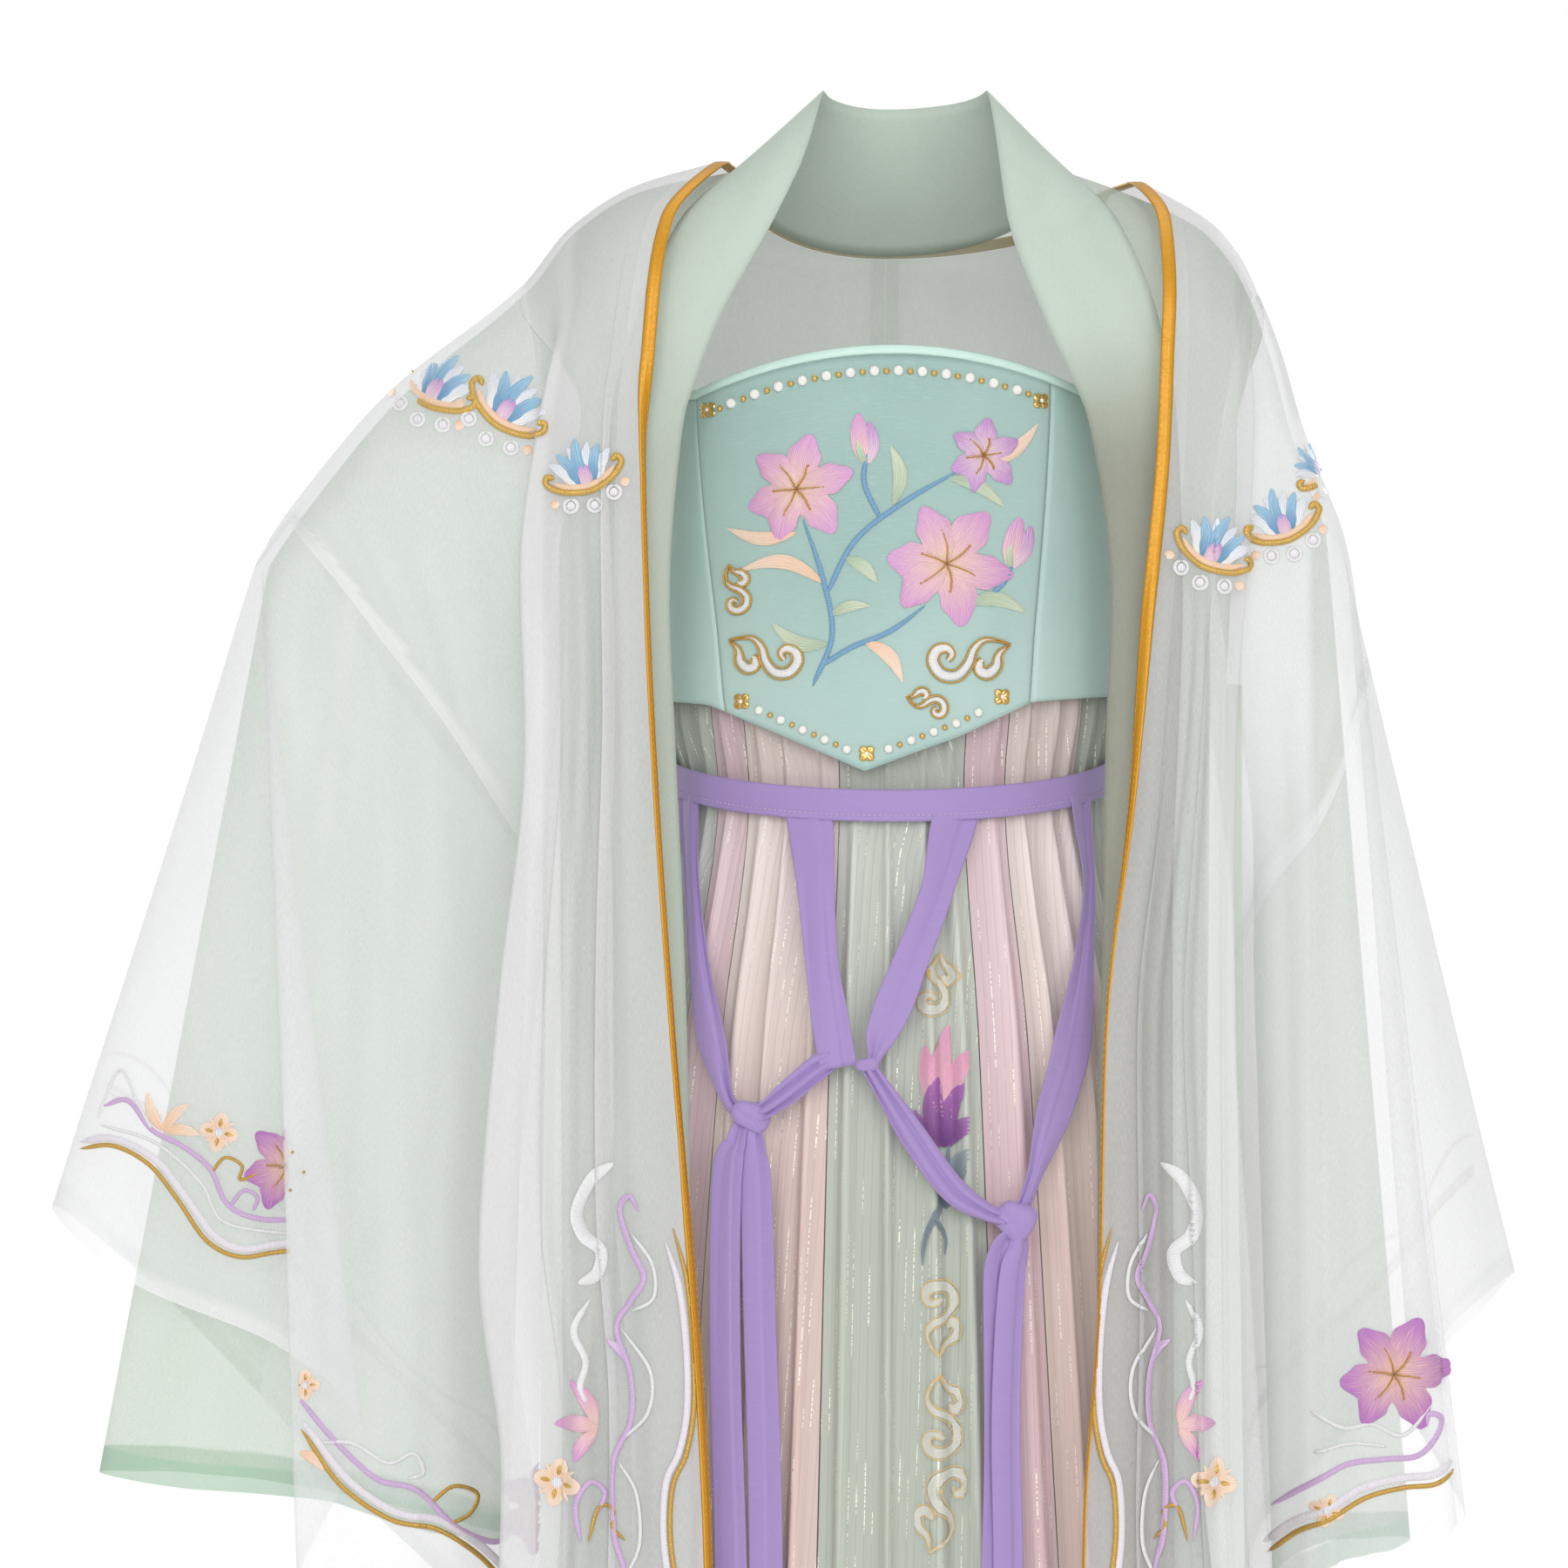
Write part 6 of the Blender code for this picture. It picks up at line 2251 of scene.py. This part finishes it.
    def embroider(self, panels: list[Surface]) -> None:
        """A flowering branch with leaves, buds and cloud scrolls, in silk and gold.

        Args:
            panels: the cloths that are stitched.
        """
        work = Embroidery(Ground(panels), self.palette, "bodice_embroidery", "turquoise_satin")
        for path in BODICE_STEMS:
            work.band("blue_silk", path, 0.0032, (0.1, 0.3), 0.0013)
        for silk, (base, tip), width, bend in BODICE_LEAVES:
            work.petal(silk, base, tip, width / 1000, bend, 0.75, 0.0014)
        buds = (
            ((-0.016, -0.188), (-0.022, -0.156), 0.012), ((0.074, -0.252), (0.080, -0.220), 0.013),
        )
        for base, tip, width in buds:
            work.petal("pink_silk", base, tip, width, 0.05, 0.5)
            work.petal("lilac_silk", base, (tip[0] + 0.007, tip[1] - 0.005), width * 0.7, -0.1, 0.5)
            work.petal("sage_silk", base, ((base[0] + tip[0]) / 2 - 0.003, (base[1] + tip[1]) / 2),
                       0.005, 0.1, 0.6, 0.0018)
        work.blossom("pink_silk", (-0.060, -0.203), 0.035, 0.25)
        work.blossom("pink_silk", (0.033, -0.250), 0.040, 0.7)
        work.blossom("lilac_silk", (0.056, -0.182), 0.024, 0.15)
        clouds = (
            ((0.050, -0.308), 0.042, 0.35, 1, 0.0078), ((0.020, -0.336), 0.021, 2.9, 1, 0.0048),
            ((-0.082, -0.306), 0.038, 2.7, -1, 0.0072), ((-0.098, -0.263), 0.025, 1.9, 1, 0.0052),
        )
        for place, size, turn, flip, width in clouds:
            work.cloud(place, size, turn, flip, width)
        self.beading(work)
        work.build()


@dataclass(frozen=True)
class Ribbon:
    """One stretch of ribbon: (x, z, width, height off the figure) in millimetres along it.

    Where it is narrower than its cut width it gathers into lengthwise creases.
    """

    rows: tuple[tuple[float, float, float, float], ...]
    cut: float
    creases: float = 3.0
    turn: float = 0.0
    sway: float = 0.0

    def grid(self, figure: Figure) -> Array:
        """The ribbon's grid on the front of the figure.

        A strip drawn in from its cut width waves the deeper the narrower it is, in creases that
        are the absolute value of a sine, and one turned edge runs down it as a small step.

        Args:
            figure: what it hangs on.

        Returns:
            The grid of points.
        """
        table = np.array(self.rows) / 1000
        count = max(24, int(np.linalg.norm(table[-1, :2] - table[0, :2]) / 0.004))
        at = dense(0, 1, count)
        place = spline(table[:, :2], at)
        steps = dense(0, 1, len(table))
        width, off = (smooth(steps, table[:, k], at) for k in (2, 3))
        x = place[:, 0] + self.sway * np.sin(9.0 * at + self.turn) * fade(at, 0.03, 0.3)
        z = place[:, 1]
        heading = unit(np.stack([np.gradient(x), np.gradient(z)], axis=1))
        share = dense(-1, 1, 25)[None, :]
        reach = width[:, None] / 2 * share
        points = figure.in_front(
            x[:, None] - heading[:, 1:] * reach, z[:, None] + heading[:, :1] * reach, off[:, None])
        drawn = np.clip(1 - width / self.cut, 0.0, 1.0)
        deep = np.minimum(0.0002 + 0.0060 * drawn, 0.0026)[:, None]
        turning = math.pi / 2 * self.creases * share + self.turn + 1.6 * at[:, None]
        wave = 1.2 * np.abs(np.sin(turning)) - 0.5
        edge = 0.25 * np.sin(2.2 * at[:, None] + self.turn) + 0.15
        points[..., 1] += 0.0005 * np.tanh((share - edge) / 0.05)
        points[..., 1] -= deep * wave
        return points


@dataclass(frozen=True)
class Knot:
    """A tied knot: its middle (x, z), its half sizes and how far it leans, in radians."""

    middle: Spot
    sizes: tuple[float, float, float]
    lean: float


RIBBONS = {
    "ribbon_centre_right": Ribbon(((-54.5, -396, 29, 6), (-51.2, -415, 28, 8.5), (-48, -455, 23, 15),
        (-44.8, -496, 20.5, 18.5), (-39.5, -533, 23, 19), (-34.5, -562, 23.5, 19)), 0.0255, 1.3, 0.6),
    "ribbon_centre_left": Ribbon(((42, -396, 29, 6), (37, -415, 28, 8.5), (26.2, -455.9, 20.5, 15),
        (11, -495, 21.5, 18.5), (1.2, -520, 23.5, 19), (-8, -541.6, 19, 19.5), (-12.2, -555.6, 8.5, 20),
        (-15, -561, 7, 20)), 0.0255, 1.3, 2.4),
    "ribbon_side_right": Ribbon(((-129, -385, 14, 6), (-128.5, -410, 12, 10), (-127, -441, 9.5, 16),
        (-121.9, -495.8, 12.5, 18.5), (-113.5, -545, 17.5, 19), (-104, -580, 9, 20), (-96, -591, 7.5, 20)),
        0.02, 1.3, 1.0),
    "ribbon_side_left": Ribbon(((119, -385, 14, 6), (121.5, -410, 12, 10), (124.5, -450, 8, 16.5),
        (120.2, -495.8, 13, 18.5), (111.3, -551.3, 24.5, 19), (100.8, -587.4, 23, 19), (86, -632, 9.5, 20),
        (79, -650, 8, 20)), 0.0255, 1.3, 3.0),
    "ribbon_link_right": Ribbon(((-38, -556, 12, 18), (-48.4, -563, 15, 19), (-64, -576, 14.5, 20),
        (-79, -588, 11, 20.5), (-88, -592, 8, 20)), 0.026, 2.0, 0.4),
    "ribbon_link_left": Ribbon(((-18, -558.5, 8, 19), (-11, -569, 10, 19), (14.1, -607.3, 16.5, 19.5),
        (36.2, -636.9, 16, 19.5), (56, -650, 11, 20), (70, -655, 8, 20)), 0.026, 2.0, 2.0),
    "tail_right_outer": Ribbon(((-93, -595, 8, 19), (-98.5, -608, 12, 19.5), (-103.5, -630, 18.5, 19.5),
        (-103, -730, 19, 19), (-101, -840, 19.5, 18.5), (-100, -980, 20, 18.5), (-99, -1120, 20, 18.5)),
        0.0206, 1.0, 0.0, 0.0016),
    "tail_right_inner": Ribbon(((-88, -598, 8, 17.5), (-86.5, -612, 15, 17), (-84, -640, 19.5, 16.5),
        (-83, -740, 20, 16), (-81, -840, 20.5, 16), (-78, -960, 20.5, 16), (-76, -1080, 20.5, 16)),
        0.021, 1.0, 2.2, 0.0016),
    "tail_left_outer": Ribbon(((77, -660, 8, 19), (76.5, -672, 12, 19.5), (73.5, -695, 16.5, 19.5),
        (69, -780, 18, 19), (68, -860, 18.5, 18.5), (67, -980, 19, 18.5), (66, -1100, 19, 18.5)),
        0.0196, 1.0, 1.2, 0.0016),
    "tail_left_inner": Ribbon(((72, -664, 8, 17.5), (66.5, -674, 14, 17), (64, -700, 17.5, 16.5),
        (62.5, -780, 18, 16), (61.5, -860, 18.5, 16), (60, -960, 19, 16), (58, -1060, 19, 16)),
        0.0196, 1.0, 2.9, 0.0016),
}
KNOTS = {
    "knot_right": Knot((-0.0885, -0.5925), (0.0125, 0.0060, 0.0085), -0.35),
    "knot_centre": Knot((-0.0168, -0.5600), (0.0075, 0.0050, 0.0042), 0.10),
    "knot_left": Knot((0.0745, -0.6560), (0.0125, 0.0062, 0.0110), -0.55),
}


@dataclass
class Belt:
    """The lavender band, its ribbons, knots and tails."""

    palette: Palette
    figure: Figure = FIGURE
    off: float = 0.0075
    height: float = 0.020
    middle: float = -0.3765
    dip: float = 0.024
    ribbon_off: float = 0.0185
    seam_at: float = 0.80

    def level(self, angle: Array) -> Array:
        """Height of the band's middle line, which dips in front."""
        return self.middle - self.dip * np.clip(np.cos(angle), 0, 1)

    def band(self) -> Array:
        """The waistband's grid, with a stitched groove near its lower edge.

        Returns:
            The grid of points.
        """
        angle = dense(math.pi, 3 * math.pi, 300)[None, :]
        down = dense(0, 1, 13)[:, None]
        middle = self.level(angle)
        z = middle + self.height * (0.5 - down)
        groove = 0.0007 * np.exp(-(((down - self.seam_at) / 0.05) ** 2))
        points = self.figure.around(angle, np.broadcast_to(middle, z.shape), self.off + 0.0008 - groove)
        points[..., 2] = z
        return points

    def seam(self) -> Surface:
        """The running stitch along the band's lower edge.

        Returns:
            The stitches.
        """
        angle = dense(math.pi, 3 * math.pi, 900)
        middle = self.level(angle)
        path = self.figure.around(angle, middle, self.off + 0.0018)
        path[:, 2] = middle + self.height * (0.5 - self.seam_at)
        return running_stitch(path, 0.0021, 0.0013, 0.00028)

    def knot(self, form: Knot) -> Surface:
        """A tied knot: a flat lump with the creases of ribbon that wraps over it.

        A boxy ellipsoid whose radius swells between creases, the absolute value of a sine of the
        height, which leans with the turn so that the wraps cross it at a slant.

        Args:
            form: its place and sizes.

        Returns:
            The knot.
        """
        up = dense(-math.pi / 2, math.pi / 2, 46)[:, None]
        turn = dense(0, 2 * math.pi, 71)[None, :-1]
        wraps = np.abs(np.sin(1.7 * up + 1.1 * np.sin(turn) + 0.5)) ** 0.45
        crease = 0.88 + 0.15 * wraps + 0.015 * np.sin(9 * up + 2 * turn)
        boxy = np.sign(np.sin(turn)) * np.abs(np.sin(turn)) ** 0.75
        along = np.cos(up) ** 0.4 * boxy * form.sizes[0] * (0.97 + 0.03 * crease)
        height = np.sin(up) * (1 + 0.12 * boxy) * form.sizes[2]
        cos, sin = math.cos(form.lean), math.sin(form.lean)
        flat = np.sign(np.cos(turn)) * np.abs(np.cos(turn)) ** 0.6
        off = -np.cos(up) ** 0.45 * flat * form.sizes[1] * crease
        place = self.figure.in_front(np.array(form.middle[0]), np.array(form.middle[1]), self.ribbon_off)
        ball = np.stack([along * cos - height * sin, off, along * sin + height * cos], axis=-1)
        return Surface.of_grid(place + ball, closed=True)

    def build(self) -> None:
        """Builds the band, ribbons and knots."""
        lavender = self.palette["lavender"]
        sew(self.band(), "waist_belt", lavender, "lavender_crepe", "belt_band", "stretched",
            0.0020)
        self.seam().build("waist_belt_stitches", self.palette["thread"], "lavender_crepe")
        for name, ribbon in RIBBONS.items():
            sew(ribbon.grid(self.figure), f"crepe_{name}", lavender, "lavender_crepe", name, "hung",
                0.0008)
        for name, form in KNOTS.items():
            made = self.knot(form).build(f"crepe_{name}", lavender, "lavender_crepe")
            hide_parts(name)


# ---------------- studio
@dataclass
class Studio:
    """Pale floor, soft light and the camera."""

    camera_place: tuple[float, float, float] = (-0.068, -3.0, -0.387)
    view_width: float = 1.017
    sensor: float = 36.0
    floor_z: float = -1.4206
    ambient: float = 0.585

    def build(self) -> None:
        """Builds everything that isn't the garment."""
        scene = bpy.context.scene
        data = bpy.data.cameras.new("camera")
        data.sensor_width = self.sensor
        data.lens = self.sensor * abs(self.camera_place[1]) / self.view_width
        camera = bpy.data.objects.new("camera", data)
        camera.location = self.camera_place
        camera.rotation_euler = (math.pi / 2, 0.0, 0.0)
        scene.collection.objects.link(camera)
        scene.camera = camera
        self.floor()
        self.world(scene)
        self.lamp("key", (-0.8, -3.5, 0.7), 2.2, 43.0)
        self.lamp("fill", (0.9, -3.4, 0.1), 2.2, 35.0)
        self.lamp("top", (0.2, 0.3, 2.2), 1.4, 10.0)
        self.lamp("back_right", (-2.0, 2.6, 0.5), 2.2, 28.0)
        self.lamp("back_left", (2.0, 2.6, 0.5), 2.2, 28.0)
        scene.view_settings.view_transform = "Standard"
        scene.cycles.transparent_max_bounces = 48

    def floor(self) -> None:
        """A pale floor, just wider than the shadow that falls on it."""
        bpy.ops.mesh.primitive_plane_add(size=5.0, location=(0.0, 0.0, self.floor_z))
        plane = bpy.context.active_object
        plane.name = "studio_floor"
        made, net = new_net("floor_paper", (0.9, 0.9, 0.9))
        grain = net.clouds(60.0)
        net.principled(
            Base_Color=net.mix(grain, (0.88, 0.88, 0.88), (0.92, 0.92, 0.92)), Roughness=0.7)
        plane.data.materials.append(made)

    def world(self, scene: bpy.types.Scene) -> None:
        """White to the eye, and a softer white as light.

        Args:
            scene: what gets the world.
        """
        scene.world = bpy.data.worlds.new("studio")
        net = Net(scene.world)
        seen = net.node("LightPath", "Is Camera Ray")
        strength = seen * (1.0 - self.ambient) + self.ambient
        sky = net.node("Background", Color=(1.0, 1.0, 1.0), Strength=strength)
        last = net.tree.nodes.new("ShaderNodeOutputWorld")
        net.tree.links.new(sky.output, last.inputs["Surface"])

    def lamp(self, name: str, place: tuple[float, float, float], size: float, power: float) -> None:
        """A large soft lamp that faces the middle of the garment.

        Args:
            name: of the lamp.
            place: where it stands.
            size: of its square face.
            power: in watts.
        """
        data = bpy.data.lights.new(name, "AREA")
        data.shape = "RECTANGLE"
        data.size = data.size_y = size
        data.energy = power
        lamp = bpy.data.objects.new(name, data)
        lamp.location = place
        aim = np.array((0.0, 0.0, -0.6)) - np.array(place)
        flat = math.hypot(aim[0], aim[1])
        lamp.rotation_euler = (math.atan2(flat, -aim[2]), 0.0, math.atan2(-aim[0], aim[1]))
        bpy.context.scene.collection.objects.link(lamp)


def main() -> None:
    """Builds the set from the skin outwards."""
    logging.basicConfig(level=logging.INFO, format="%(name)s: %(message)s")
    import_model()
    palette = Palette()
    for layer in (Skirt, Bodice, InnerRobe, OuterRobe, Belt):
        layer(palette).build()
        LOG.info("%s built", layer.__name__)
    Studio().build()


if __name__ == "__main__":
    main()
